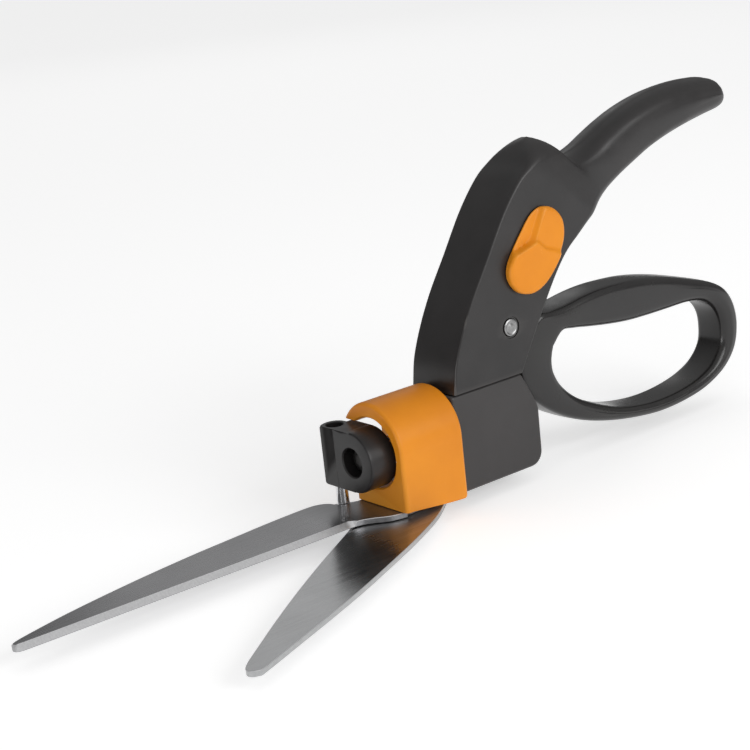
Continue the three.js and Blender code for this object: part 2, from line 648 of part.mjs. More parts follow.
function lockCatch() {
  const { centre, tip, tipHalf, half } = LOCK;
  const shape = [
    [tip, -tipHalf], [tip, tipHalf],
    [tip + CATCH.throat, tipHalf], [tip + CATCH.shoulder, half],
    [centre + CATCH.end, half], [centre + CATCH.end, -half],
    [tip + CATCH.shoulder, -half], [tip + CATCH.throat, -tipHalf],
  ].map(([out, across]) => vector(lockPoint(out, across)));
  return cut(
    side(new THREE.Shape(shape), CATCH.low, CATCH.high),
    round("y", LOCK_SCREW.shank + GAP, 0, ARM.half, lockPoint(centre, 0)),
  );
}

function lockScrew() {
  const { shank, head, tip, headLow, headHigh } = LOCK_SCREW;
  const at = lockPoint(LOCK.centre, 0);
  return join(
    round("y", shank, tip, ARM.half + PAST, at),
    round("y", head, headLow, headHigh, at),
  );
}

// ---------------------------------------------------------------- round hardware
function swivelSpigot() {
  const { radius, bore, flange, rear, flangeFront, nose } = SPIGOT;
  const swivel = [0, SWIVEL_Z];
  return cut(
    join(
      round("x", flange, rear, flangeFront, swivel, SMOOTH),
      round("x", radius, rear + 0.7, nose, swivel, SMOOTH),
    ),
    round("x", bore, rear - PAST, nose + PAST, swivel),
    tube("x", radius + PAST, radius - 0.8, RING.back + 0.2, RING.back + 1.6, swivel),
  );
}

function retainingRing() {
  const { outer, bite, rear, front, mouth } = CLIP;
  const ends = [RING.back + rear, RING.back + front];
  return cut(
    tube("x", outer, SPIGOT.radius - bite, ...ends, [0, SWIVEL_Z]),
    box([ends[0] - PAST, ends[1] + PAST], [-mouth, mouth], [SWIVEL_Z - outer - PAST, SWIVEL_Z]),
  );
}

function rodNut() {
  const { radius, rear, front, edge } = ROD_NUT;
  return cut(
    along(hexagon(radius, [0, SWIVEL_Z]), rear, front, edge),
    round("x", ROD.radius + FIT, rear - PAST, front + PAST, [0, SWIVEL_Z]),
  );
}

function bladeScrew(at) {
  const { shank, top, head, thick } = BLADE_SCREW;
  return join(
    round("z", shank, UPPER.low + thick / 2, top, at),
    round("z", head, UPPER.low, UPPER.low + thick, at, 20),
  );
}

function pivotBolt(at) {
  return join(
    round("z", BOLT.radius, BOLT.low, BOLT.headLow + 0.5, at),
    round("z", BOLT.head, BOLT.headLow, BOLT.headHigh, at, SMOOTH),
  );
}

function pivotNut(at) {
  return cut(
    plate(hexagon(BOLT.nut, at), BOLT.low - 0.2, WASHER.low - GAP, 0.3),
    round("z", BOLT.radius + FIT, BOLT.low - 2, LOWER.high, at),
  );
}

function pinClip() {
  const eye = [EYE.x, EYE.y];
  const outer = 3.6;
  return cut(
    tube("z", outer, DRIVE_PIN.radius - GAP, LOWER.low - 1.1, LOWER.low - 0.5, eye, ROUND),
    box([EYE.x - 1.4, EYE.x + 1.4], [EYE.y - outer - PAST, EYE.y], [LOWER.low - 3, LOWER.high]),
  );
}

// ---------------------------------------------------------------- assembly
const pivotAt = [PIVOT.x, PIVOT.y];
const rivetAt = [0, RIVET_Z];
const swivelAt = [0, SWIVEL_Z];

piece("handle_arm", handleArm(), blackPlastic());
piece("lower_housing", lowerHousing(), greyPlastic());
HOUSING_SCREWS.forEach((at, i) => piece(`housing_screw_${i + 1}`, housingScrew(at), darkSteel()));
const rivetEnd = ARM.half + RIVET.proud;
piece("lever_rivet", round("y", RIVET.radius, -rivetEnd, rivetEnd, rivetAt, SMOOTH), steel());
piece("swivel_spigot", swivelSpigot(), steel());
piece("retaining_ring", retainingRing(), darkSteel());
const ball = new THREE.SphereGeometry(DETENT.ball, 12, 8);
piece("detent_ball", ball.translate(DETENT.ballX, 0, DETENT.z), steel());
const detentSpring = coil({
  radius: DETENT.coil,
  wire: DETENT.wire,
  turns: 4,
  from: DETENT.back + 0.2,
  to: DETENT.ballX - DETENT.ball - 0.1,
  z: DETENT.z,
  perTurn: 8,
});
piece("detent_spring", detentSpring, steel());

piece("finger_loop", fingerLoop(), blackPlastic());
const bushEnd = LOOP.half + 0.4;
piece("lever_bush", tube("y", LOOP.bore - 0.2, RIVET.radius + GAP, -bushEnd, bushEnd, rivetAt), bronze());

piece("draw_rod", round("x", ROD.radius, ROD.rear, ROD.front, swivelAt), steel());
piece("rod_clevis", rodClevis(), steel());
piece("link_pin", round("y", LINK.radius, -LINK.half, LINK.half, [LINK.x, SWIVEL_Z]), steel());
piece("rod_nut", rodNut(), darkSteel());

piece("swivel_collar", swivelCollar(), orangePlastic());
piece("swivel_bush", tube("x", BUSH.outer, SPIGOT.radius + GAP, BUSH.rear, RING.back, swivelAt), bronze());
piece("upper_blade", upperBlade(), bladeSteel());
BLADE_SCREWS.forEach((at, i) => piece(`blade_screw_${i + 1}`, bladeScrew(at), steel()));
piece("pivot_bolt", pivotBolt(pivotAt), steel());
const washer = tube("z", WASHER.radius, BOLT.radius + GAP, WASHER.low, WASHER.high, pivotAt);
piece("spring_washer", washer, darkSteel());
piece("pivot_nut", pivotNut(pivotAt), steel());
const returnSpring = coil({
  radius: RETURN_SPRING.radius,
  wire: RETURN_SPRING.wire,
  turns: RETURN_SPRING.turns,
  from: SPIGOT.nose + 0.2,
  to: RETURN_SPRING.front,
  z: SWIVEL_Z,
});
piece("return_spring", returnSpring, steel());

piece("lower_blade", lowerBlade(), bladeSteel());
const bladeBush = tube("z", LOWER.bush, BOLT.radius + GAP, LOWER.low - 0.1, LOWER.high + 0.1, pivotAt);
piece("blade_bush", bladeBush, bronze());

piece("coupling_block", couplingBlock(), blackPlastic());
piece("drive_pin", drivePin(), steel());
piece("pin_clip", pinClip(), darkSteel());

piece("lock_button", lockButton(), orangePlastic());
piece("lock_catch", lockCatch(), greyPlastic());
piece("lock_screw", lockScrew(), darkSteel());

export default shears;
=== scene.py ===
"""Looks for the grass shears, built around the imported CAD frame. Lengths are in millimetres until a mesh is made."""
import json
import math

import bmesh
import bpy
import numpy as np
from mathutils import Matrix, Vector


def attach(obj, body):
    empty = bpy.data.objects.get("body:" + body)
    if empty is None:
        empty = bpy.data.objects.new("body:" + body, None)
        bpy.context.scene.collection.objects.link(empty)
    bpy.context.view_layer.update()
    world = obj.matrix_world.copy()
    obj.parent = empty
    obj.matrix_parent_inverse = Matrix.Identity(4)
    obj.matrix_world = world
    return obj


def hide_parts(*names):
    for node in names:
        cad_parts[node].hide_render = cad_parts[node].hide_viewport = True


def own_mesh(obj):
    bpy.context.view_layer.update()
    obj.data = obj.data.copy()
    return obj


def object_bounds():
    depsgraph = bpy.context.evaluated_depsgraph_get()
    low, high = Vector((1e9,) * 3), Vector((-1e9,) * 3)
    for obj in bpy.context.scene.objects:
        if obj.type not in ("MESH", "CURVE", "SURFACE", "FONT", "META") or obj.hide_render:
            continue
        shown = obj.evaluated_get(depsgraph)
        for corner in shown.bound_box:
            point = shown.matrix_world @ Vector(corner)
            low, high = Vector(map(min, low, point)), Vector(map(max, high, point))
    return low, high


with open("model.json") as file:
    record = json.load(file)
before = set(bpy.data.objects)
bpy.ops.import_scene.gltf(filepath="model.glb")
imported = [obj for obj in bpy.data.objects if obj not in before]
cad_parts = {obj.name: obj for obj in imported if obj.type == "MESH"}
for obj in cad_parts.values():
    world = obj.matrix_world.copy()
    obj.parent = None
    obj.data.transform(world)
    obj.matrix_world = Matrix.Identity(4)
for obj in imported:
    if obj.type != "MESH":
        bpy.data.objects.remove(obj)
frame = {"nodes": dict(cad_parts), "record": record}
cad_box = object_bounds()

MM = 0.001
SWIVEL_Z = 21.5  # height of the head's swivel axis
RIVET_Z = 55.7  # height of the lever's pivot
PIVOT_X = 46.5  # the blades' pivot
EYE = (65.7, -13.2)  # x and y of the drive pin
DETENT_Z = 33.1  # height of the detent's ball and spring
LOCK_REST = 29.6  # the button's centre, along its slot from the rivet
BLADE_OPEN = math.radians(32)
STROKE = 13.5  # travel of the coupling block
HOUSING_SCREWS = [(21, 41.5), (2, 41.5)]
BLADE_SCREWS = [(37.4, -6.4), (37.4, 9)]


# ---------------------------------------------------------------- curves and sections
def curve(points, count, closed=False, along=None):
    """Points at equal steps along a smooth curve through the given ones, which may carry extra columns."""
    p = np.array(points, float)
    p = np.vstack([p[-1:], p, p[:2]]) if closed else np.vstack([2 * p[0] - p[1], p, 2 * p[-1] - p[-2]])
    t = np.linspace(0, 1, 20, endpoint=False)[:, None]
    fine = []
    for a, b, c, d in zip(p, p[1:], p[2:], p[3:]):
        fine.append(0.5 * (2 * b + (c - a) * t + (2 * a - 5 * b + 4 * c - d) * t**2 + (3 * b - a - 3 * c + d) * t**3))
    fine = np.vstack(fine + [p[-2:-1]])
    length = np.r_[0, np.cumsum(np.linalg.norm(np.diff(fine[:, :along], axis=0), axis=1))]
    at = np.linspace(0, length[-1], count, endpoint=not closed)
    return np.column_stack([np.interp(at, length, fine[:, k]) for k in range(fine.shape[1])])


def rounded(a0, a1, half, r0, r1, crown=0.0, arc=6, flat=4):
    """A closed section from a0 to a1 and half wide each way, with corner radius r0 at a0 and r1 at a1."""
    corners = [(a1, half, r1, 0), (a0, half, r0, 1), (a0, -half, r0, 2), (a1, -half, r1, 3)]
    out = []
    for i, (a, b, r, quarter) in enumerate(corners):
        r = min(r, half * 0.98, abs(a1 - a0) / 2 * 0.98)
        centre = np.array([a - math.copysign(r, a - (a0 + a1) / 2), b - math.copysign(r, b)])
        angles = (quarter + np.linspace(0, 1, arc + 1)) * math.pi / 2
        out.append(centre + r * np.column_stack([np.cos(angles), np.sin(angles)]))
    ring = []
    for i in range(4):
        ring.extend(out[i])
        start, end = out[i][-1], out[(i + 1) % 4][0]
        direction = end - start
        length = np.linalg.norm(direction) or 1
        normal = np.array([direction[1], -direction[0]]) / length
        for s in np.linspace(0, 1, flat + 2)[1:-1]:
            ring.append(start + direction * s + normal * crown * (1 - (2 * s - 1) ** 2))
    return np.array(ring)


def arc_points(cx, cy, r, start, end, count=24):
    angles = np.radians(np.linspace(start, end, count))
    return [(cx + r * math.cos(a), cy + r * math.sin(a)) for a in angles]


# ---------------------------------------------------------------- meshes
def new_object(name, vertices, faces):
    mesh = bpy.data.meshes.new(name)
    mesh.from_pydata([tuple(np.array(v) * MM) for v in vertices], [], faces)
    work = bmesh.new()
    work.from_mesh(mesh)
    bmesh.ops.remove_doubles(work, verts=work.verts, dist=1e-7)
    bmesh.ops.recalc_face_normals(work, faces=work.faces)
    work.to_mesh(mesh)
    work.free()
    made = bpy.data.objects.new(name, mesh)
    bpy.context.scene.collection.objects.link(made)
    return made


def loft(name, rings, closed=False):
    """A skin over rings of equal size. An open one is capped at both ends."""
    count, size = len(rings), len(rings[0])
    vertices = [p for ring in rings for p in ring]
    faces = []
    for i in range(count if closed else count - 1):
        j = (i + 1) % count
        for k in range(size):
            m = (k + 1) % size
            faces.append((i * size + k, i * size + m, j * size + m, j * size + k))
    if not closed:
        faces.append(tuple(range(size)))
        faces.append(tuple((count - 1) * size + k for k in range(size)))
    return new_object(name, vertices, faces)


def prism(name, outline, low, high, axis):
    """An outline spread along an axis: (x, z) along y, (y, z) along x, (x, y) along z."""
    def place(p, d):
        return {"x": (d, p[0], p[1]), "y": (p[0], d, p[1]), "z": (p[0], p[1], d)}[axis]
    return loft(name, [[place(p, low) for p in outline], [place(p, high) for p in outline]])


def brick(name, corner, opposite, low, high, axis):
    """A prism on the rectangle between two opposite corners."""
    (a0, b0), (a1, b1) = corner, opposite
    return prism(name, [(a0, b0), (a1, b0), (a1, b1), (a0, b1)], low, high, axis)


def hexagon(at, reach):
    turns = [math.radians(60 * k) for k in range(6)]
    return [(at[0] + reach * math.cos(a), at[1] + reach * math.sin(a)) for a in turns]


def grooves(start, pitch, count, radius):
    """The profile of a thread, drawn as plain grooves 0.3 mm deep."""
    return [p for k in range(count) for p in ((start + k * pitch, radius), (start + 0.3 + k * pitch, radius - 0.3))]


def lathe(name, profile, axis, at, sides=64):
    """A profile of (distance along the axis, radius) turned about it. It closes on itself where it is a tube."""
    rings = []
    for k in range(sides):
        a = 2 * math.pi * k / sides
        c, s = math.cos(a), math.sin(a)
        if axis == "x":
            rings.append([(d, at[0] + r * c, at[1] + r * s) for d, r in profile])
        elif axis == "y":
            rings.append([(at[0] + r * s, d, at[1] + r * c) for d, r in profile])
        else:
            rings.append([(at[0] + r * c, at[1] + r * s, d) for d, r in profile])
    return loft(name, rings, closed=True)


def shaft(name, axis, at, radius, low, high, chamfer=0.3, sides=64):
    c = chamfer
    profile = [(low, 0), (low, radius - c), (low + c * 0.3, radius - c * 0.3), (low + c, radius),
               (high - c, radius), (high - c * 0.3, radius - c * 0.3), (high, radius - c), (high, 0)]
    return lathe(name, profile, axis, at, sides)


def ring_of(name, axis, at, outer, inner, low, high, chamfer=0.2, sides=64):
    c = chamfer
    profile = [(low, inner + c), (low + c, inner), (high - c, inner), (high, inner + c),
               (high, outer - c), (high - c, outer), (low + c, outer), (low, outer - c)]
    return lathe(name, profile, axis, at, sides)


def apply_modifiers(made):
    graph = bpy.context.evaluated_depsgraph_get()
    mesh = bpy.data.meshes.new_from_object(made.evaluated_get(graph), preserve_all_data_layers=True, depsgraph=graph)
    made.modifiers.clear()
    made.data = mesh
    return made


def combine(made, tools, operation):
    for tool in tools:
        step = made.modifiers.new("step", "BOOLEAN")
        step.operation = operation
        step.solver = "EXACT"
        step.object = tool
    apply_modifiers(made)
    for tool in tools:
        bpy.data.objects.remove(tool)
    return made


def cut(made, *tools):
    return combine(made, tools, "DIFFERENCE")


def join(made, *tools):
    return combine(made, tools, "UNION")


def soften(made, width, segments=3, angle=32):
    """Rounds every edge sharper than the angle."""
    step = made.modifiers.new("soften", "BEVEL")
    step.width = width * MM
    step.segments = segments
    step.limit_method = "ANGLE"
    step.angle_limit = math.radians(angle)
    step.use_clamp_overlap = True
    return apply_modifiers(made)


def gather(made, *others):
    """Adds other meshes to one as they are."""
    work = bmesh.new()
    work.from_mesh(made.data)
    for other in others:
        work.from_mesh(other.data)
        bpy.data.objects.remove(other)
    work.to_mesh(made.data)
    work.free()
    return made


def piece(made, body, material, replaces=(), sharp=38):
    made.data.shade_smooth()
    made.data.set_sharp_from_angle(angle=math.radians(sharp))
    step = made.modifiers.new("normals", "WEIGHTED_NORMAL")
    step.keep_sharp = True
    step.weight = 80
    apply_modifiers(made)
    made.data.materials.clear()
    made.data.materials.append(material)
    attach(made, body)
    if replaces:
        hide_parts(*replaces)
    return made


# ---------------------------------------------------------------- materials
class Nodes:
    """A short way to write a material's nodes."""

    def __init__(self, name):
        self.material = bpy.data.materials.new(name)
        self.material.use_nodes = True
        self.tree = self.material.node_tree
        self.shader = self.tree.nodes["Principled BSDF"]
        self.place = self.add("ShaderNodeTexCoord").outputs["Object"]

    def add(self, kind, **inputs):
        node = self.tree.nodes.new(kind)
        for key, value in inputs.items():
            self.put(node.inputs[key.replace("_", " ")], value)
        return node

    def put(self, socket, value):
        if isinstance(value, bpy.types.NodeSocket):
            self.tree.links.new(value, socket)
        else:
            socket.default_value = value

    def set(self, **inputs):
        for key, value in inputs.items():
            self.put(self.shader.inputs[key.replace("_", " ")], value)

    def stretch(self, scale, turn=(0, 0, 0)):
        return self.add("ShaderNodeMapping", Vector=self.place, Scale=scale, Rotation=turn).outputs[0]

    def noise(self, scale, detail=3.0, vector=None, roughness=0.55):
        made = self.add("ShaderNodeTexNoise", Scale=scale, Detail=detail, Roughness=roughness)
        self.put(made.inputs["Vector"], vector or self.place)
        return made.outputs["Fac"]

    def ramp(self, value, low, high, start, end):
        made = self.add("ShaderNodeMapRange", Value=value)
        for key, number in zip(("From Min", "From Max", "To Min", "To Max"), (low, high, start, end)):
            made.inputs[key].default_value = number
        return made.outputs[0]

    def mix(self, share, first, second):
        """A colour mix: sockets 0, 6 and 7 are its factor and its two colours."""
        made = self.add("ShaderNodeMix")
        made.data_type = "RGBA"
        for place, value in ((0, share), (6, first), (7, second)):
            self.put(made.inputs[place], value)
        return made.outputs[2]

    def bump(self, height, strength, distance=0.0002, before=None):
        made = self.add("ShaderNodeBump", Height=height, Strength=strength, Distance=distance)
        if before:
            self.put(made.inputs["Normal"], before)
        return made.outputs[0]

    def edges(self, low=0.51, high=0.56):
        geometry = self.add("ShaderNodeNewGeometry")
        return self.ramp(geometry.outputs["Pointiness"], low, high, 0.0, 1.0)


def plastic(name, dark, light, roughness, worn, grain=0.25, gloss=0.5, rims=True):
    """Moulded plastic: a fine grain, cloudy gloss, faint scuffs and slightly paler edges."""
    n = Nodes(name)
    cloud = n.noise(38, 4)
    scuff = n.noise(220, 6, n.stretch((1.0, 0.18, 0.5), (0.3, 0.2, 0.6)), 0.7)
    base = n.mix(n.ramp(cloud, 0.35, 0.7, 0.0, 1.0), (*dark, 1), (*light, 1))
    base = n.mix(n.ramp(scuff, 0.66, 0.8, 0.0, 0.35), base, (*worn, 1))
    wear = n.mix(n.edges(0.515, 0.6), base, (*worn, 1)) if rims else base
    fine = n.noise(2600, 2)
    soft = n.bump(n.noise(60, 3), 0.06, 0.0006)
    n.set(Base_Color=wear, Roughness=n.ramp(n.noise(90, 5), 0.3, 0.75, roughness * 0.82, roughness * 1.25),
          Normal=n.bump(fine, grain, 0.00003, soft))
    n.shader.inputs["IOR"].default_value = 1.5
    n.shader.inputs["Specular IOR Level"].default_value = gloss
    return n.material


def steel(name, dark, light, roughness, grain, turn=(0, 0, 0), strength=0.12, spots=0.25, matt_until=None):
    """Ground steel: fine lines along one direction, cloudy tone and small handling marks, duller behind matt_until."""
    n = Nodes(name)
    lines = n.noise(26, 8, n.stretch(grain, turn), 0.7)
    cloud = n.noise(30, 3)
    base = n.mix(n.ramp(lines, 0.32, 0.7, 0.0, 1.0), (*dark, 1), (*light, 1))
    marks = n.ramp(n.noise(140, 6, None, 0.75), 0.68, 0.82, 0.0, spots)
    base = n.mix(marks, base, tuple(c * 0.45 for c in dark) + (1,))
    rough = n.ramp(n.mix(0.35, lines, cloud), 0.3, 0.75, roughness * 0.75, roughness * 1.35)
    if matt_until:
        forward = n.add("ShaderNodeSeparateXYZ", Vector=n.place).outputs["X"]
        heel = n.add("ShaderNodeMath")
        n.put(heel.inputs[0], rough)
        n.put(heel.inputs[1], n.ramp(forward, matt_until - 0.03, matt_until, 0.24, 0.0))
        rough = heel.outputs[0]
    n.set(Base_Color=base, Roughness=rough, Normal=n.bump(lines, strength, 0.00004))
    n.shader.inputs["Metallic"].default_value = 1.0
    return n.material


BLACK = plastic("black_moulding", (0.010, 0.009, 0.009), (0.018, 0.016, 0.016), 0.36, (0.045, 0.042, 0.040), 0.12)
BLOCK = plastic("block_moulding", (0.010, 0.009, 0.009), (0.016, 0.014, 0.014), 0.34, (0.030, 0.028, 0.027), 0.12,
                gloss=0.4, rims=False)
LOOP = plastic("black_loop_moulding", (0.010, 0.009, 0.009), (0.016, 0.015, 0.014), 0.24, (0.040, 0.038, 0.036), 0.08)
GREY = plastic("grey_moulding", (0.017, 0.015, 0.015), (0.025, 0.022, 0.022), 0.42, (0.060, 0.056, 0.055), 0.3)
ORANGE = plastic("orange_moulding", (0.66, 0.212, 0.006), (0.74, 0.252, 0.008), 0.38, (0.82, 0.34, 0.04), 0.14,
                 gloss=0.28)
HEEL_END = 0.085  # the blades are duller behind this x, in metres
# Both blades are one steel. The upper blade's tone is painted darker as painted shade, and the lower blade's paler as a
# painted reflection.
UPPER = steel("upper_blade_steel_painted_shade", (0.23, 0.23, 0.235), (0.33, 0.33, 0.34), 0.27, (1.2, 46, 40),
              strength=0.10, matt_until=HEEL_END)
LOWER = steel("lower_blade_steel_painted_reflection", (0.36, 0.365, 0.37), (0.47, 0.475, 0.48), 0.22, (1.2, 46, 40),
              (0, 0, -BLADE_OPEN), 0.10, matt_until=HEEL_END)
GROUND = steel("ground_edge_steel", (0.68, 0.68, 0.69), (0.84, 0.84, 0.85), 0.34, (60, 2.5, 60),
               strength=0.22, spots=0.1)
BRIGHT = steel("bright_steel", (0.62, 0.62, 0.63), (0.76, 0.76, 0.77), 0.14, (30, 30, 4), strength=0.05, spots=0.1)
PLAIN = steel("plain_steel", (0.24, 0.24, 0.24), (0.34, 0.34, 0.34), 0.34, (30, 30, 30), strength=0.12)
DARK = steel("blackened_steel", (0.045, 0.044, 0.043), (0.085, 0.083, 0.08), 0.38, (20, 20, 20), strength=0.15)
BRONZE = steel("bearing_bronze", (0.34, 0.20, 0.08), (0.46, 0.28, 0.12), 0.38, (24, 24, 24), strength=0.18)
SLOT_MATERIALS = {
    "black_plastic": BLACK, "loop_plastic": LOOP, "grey_plastic": GREY, "orange_plastic": ORANGE, "blade_steel": UPPER,
    "bright_steel": BRIGHT, "rivet_steel": PLAIN, "dark_steel": DARK, "bronze": BRONZE,
}
for entry in frame["record"]["subparts"]:
    shown = frame["nodes"][entry["node"]].data
    shown.materials.clear()
    shown.materials.append(SLOT_MATERIALS[entry["material_slot"]])

# ---------------------------------------------------------------- handle arm and palm rest
# Each row is a station from the arm's foot to the palm rest's tip: front x, front z, rear x, rear z,
# half width, front corner radius, rear corner radius, crown of the faces.
ARM_STATIONS = [
    (29.5, 37.5, -4.2, 37.5, 12.0, 0.9, 0.9, 0.05), (27.6, 48, -10.2, 47.5, 12.0, 0.9, 0.9, 0.05),
    (23.2, 59, -17.4, 58.6, 12.0, 0.9, 1.2, 0.06), (17.2, 70, -25.6, 70.2, 12.0, 0.9, 1.5, 0.08),
    (9.2, 82, -32.2, 77.4, 12.0, 1.0, 1.8, 0.10), (-0.8, 97, -39, 82, 12.0, 1.0, 2.4, 0.12),
    (-9.8, 107.5, -44.2, 85.4, 12.0, 1.3, 3.0, 0.14), (-16.2, 112.7, -47.6, 87.5, 12.0, 2.6, 3.4, 0.16),
    (-20, 116.4, -50, 89, 11.5, 5.5, 3.8, 0.18), (-24, 119.4, -52.4, 90.6, 10.8, 8.8, 4.2, 0.2),
    (-27.8, 120.3, -54.8, 92.2, 10.2, 9.8, 4.4, 0.22), (-31, 116.8, -57.4, 93.8, 9.8, 9.6, 4.6, 0.22),
    (-33.8, 113.0, -60.2, 95.4, 9.6, 9.4, 4.9, 0.24), (-37.6, 110.6, -63.6, 97.2, 9.5, 9.0, 5.1, 0.25),
    (-44, 110.8, -68, 99.4, 9.5, 8.4, 5.2, 0.28), (-51.5, 112.9, -73, 101.6, 9.5, 7.8, 5.2, 0.3),
    (-59, 116.1, -78.4, 103.8, 9.4, 6.8, 5.2, 0.3), (-67, 119.8, -84, 106, 9.3, 6.8, 5.1, 0.3),
    (-75, 122.8, -90, 108, 9.4, 7.0, 5.0, 0.3), (-84, 125.3, -96.5, 109.8, 9.5, 7.2, 5.0, 0.3),
    (-94, 127.2, -104, 111.5, 9.5, 7.4, 5.0, 0.3), (-105, 128.2, -112, 112.9, 9.3, 7.4, 5.0, 0.28),
    (-114.5, 128.3, -118.5, 113.8, 8.9, 7.2, 5.0, 0.25), (-121.5, 127.7, -123.6, 114.4, 8.6, 6.8, 5.0, 0.2),
    (-126.2, 126.2, -127, 115, 8.0, 5.7, 4.6, 0.1), (-128.8, 123.6, -129.0, 115.6, 6.9, 4.2, 3.8, 0.05),
    (-130.6, 120.8, -130.6, 116.8, 5.1, 2.0, 2.0, 0.0), (-131.3, 119.4, -131.2, 118.0, 2.4, 0.6, 0.6, 0.0),
]


def station_ring(row, crown):
    """The section at a station: two opposite points, half width and the corner radius at each."""
    start, end = row[:2], row[2:4]
    span = end - start
    length = np.linalg.norm(span)
    direction = span / length
    section = rounded(0, length, row[4], max(row[5], 0.2), max(row[6], 0.2), crown, arc=7, flat=6)
    return [(start[0] + direction[0] * a, b, start[1] + direction[1] * a) for a, b in section]


LOCK_LINE = np.array([-0.49, 0.872]) / math.hypot(0.49, 0.872)
LOCK_ACROSS = np.array([LOCK_LINE[1], -LOCK_LINE[0]])


def lock_point(out, across):
    return tuple(np.array([0, RIVET_Z]) + out * LOCK_LINE + across * LOCK_ACROSS)


def slot_outline(start, end, radius):
    """A straight slot between two centres."""
    a = math.degrees(math.atan2(end[1] - start[1], end[0] - start[0]))
    return arc_points(*start, radius, a + 90, a + 270, 14) + arc_points(*end, radius, a - 90, a + 90, 14)


arm = loft("arm", [station_ring(row, row[7]) for row in curve(ARM_STATIONS, 110, along=4)])
ARM_INSIDE = [(26.6, 30), (26.6, 37.5), (24.6, 47), (20, 58), (14, 69), (6, 81), (-4, 94), (-13, 103), (-22, 109),
              (-30, 108), (-34, 98), (-40, 88), (-50, 76), (-40, 60), (-20, 30)]
cut(
    arm,
    prism("hollow", ARM_INSIDE, -9.4, 9.4, "y"),
    prism("lock_slot", slot_outline(lock_point(24.6, 0), lock_point(LOCK_REST, 0), 2.9), 8.4, 20, "y"),
    shaft("rivet_hole", "y", (0, RIVET_Z), 3.5, -20, 20),
    shaft("rivet_sink_near", "y", (0, RIVET_Z), 4.1, 11.5, 20),
    shaft("rivet_sink_far", "y", (0, RIVET_Z), 4.1, -20, -11.5),
    *(shaft("screw_hole", "y", at, 1.8, -20, -8) for at in HOUSING_SCREWS),
)
piece(arm, "handle", BLACK, ["handle_arm"], sharp=30)

# ---------------------------------------------------------------- housing under the arm
housing_outline = [(31, 0), (31, 37.1), (-3.8, 37.1), (-5.9, 33.2), (-7.6, 30), (-9.2, 27), (-10.6, 24), (-11.2, 22)]
housing_outline += arc_points(-5.7, 5.5, 5.5, 180, 270, 12)
housing = prism("housing", housing_outline, -11.5, 11.5, "y")
soften(housing, 1.3, 4, 40)
HOUSING_INSIDE = [(28.8, 2.2), (28.8, 46), (-16, 46), (-16, 23), (-9, 19), (-9, 6), (-5, 2.2)]
cut(housing, prism("hollow", HOUSING_INSIDE, -9.3, 9.3, "y"))
tabs = [soften(brick("tab", (x - 4, 32), (x + 4, 45.5), low, high, "y"), 0.4, 2)
        for x, _ in HOUSING_SCREWS for low, high in ((6.9, 9.2), (-9.2, -6.9))]
boss = soften(brick("boss", (22.2, 30.5), (30, 36.3), -3.2, 3.2, "y"), 0.4, 2)
join(housing, boss)
cut(housing, shaft("spigot_hole", "x", (0, SWIVEL_Z), 7.5, 24, 34),
    shaft("ball_hole", "x", (0, DETENT_Z), 2.05, 23.4, 34))
gather(housing, *tabs)
piece(housing, "handle", GREY, ["lower_housing"], sharp=34)

CROSS_SCREW = [(-7.3, 0), (-7.3, 1.2), (-10.7, 1.2), (-10.7, 1.45), (-11.5, 1.45), (-11.68, 1.2), (-11.7, 0)]
for number, (x, z) in enumerate(HOUSING_SCREWS, 1):
    head = lathe("screw", CROSS_SCREW, "y", (x, z), 40)
    cut(head, *(brick("cross", (x - a, z - b), (x + a, z + b), -12, -11, "y") for a, b in ((0.9, 0.18), (0.18, 0.9))))
    head.name = f"cross_screw_{number}"
    piece(head, "handle", DARK, [f"housing_screw_{number}"])

rivet_profile = [(-12.28, 0), (-12.28, 1.0), (-11.95, 1.5), (-11.95, 2.2), (-12.25, 2.7), (-12.05, 3.15), (-11.7, 3.3),
                 (11.7, 3.3), (12.05, 3.15), (12.25, 2.7), (11.95, 2.2), (11.95, 1.5), (12.28, 1.0), (12.28, 0)]
piece(lathe("rivet", rivet_profile, "y", (0, RIVET_Z)), "handle", PLAIN, ["lever_rivet"])

spigot_profile = [(26.3, 2.8), (26.3, 8.7), (26.6, 9.0), (28.2, 9.0), (28.5, 8.7), (28.5, 7.2), (38.4, 7.2), (38.4, 6.4),
                  (39.8, 6.4), (39.8, 7.2), (40.5, 7.2), (41.0, 6.7), (41.0, 3.1), (40.7, 2.8)]
piece(lathe("spigot", spigot_profile, "x", (0, SWIVEL_Z)), "handle", PLAIN, ["swivel_spigot"])
clip = ring_of("clip", "x", (0, SWIVEL_Z), 10.4, 6.7, 38.6, 39.6, 0.15)
cut(clip, brick("mouth", (-3, 7), (3, SWIVEL_Z), 30, 50, "x"))
piece(clip, "handle", DARK, ["retaining_ring"])


def helix(name, radius, wire, turns, low, high, z, ground=0.75):
    """A compression spring along x whose first and last turns lie close."""
    rings = []
    total = int(turns * 36)
    for i in range(total + 1):
        t = i / total
        eased = min(max((t * turns - ground) / (turns - 2 * ground), 0), 1)
        pitch = 2 * wire * ground
        x = low + wire + pitch * min(t * turns / ground, 1) * 0.5
        closing = min(max((t * turns - turns + ground) / ground, 0), 1)
        x += (high - low - 2 * wire - pitch) * eased + pitch * 0.5 * closing
        a = 2 * math.pi * turns * t
        outward = np.array([0, math.cos(a), math.sin(a)])
        centre = np.array([x, 0, z]) + radius * outward
        rings.append([centre + wire * (math.cos(b) * outward + math.sin(b) * np.array([1, 0, 0]))
                      for b in np.linspace(0, 2 * math.pi, 12, endpoint=False)])
    return loft(name, rings)


piece(helix("click_spring", 1.2, 0.28, 4.5, 23.6, 28.1, DETENT_Z), "handle", BRIGHT, ["detent_spring"])
ball = [(30.1 - 1.8 * math.cos(a), 1.8 * math.sin(a)) for a in np.linspace(0, math.pi, 24)]
piece(lathe("click_ball", ball, "x", (0, DETENT_Z), 40), "handle", BRIGHT, ["detent_ball"])

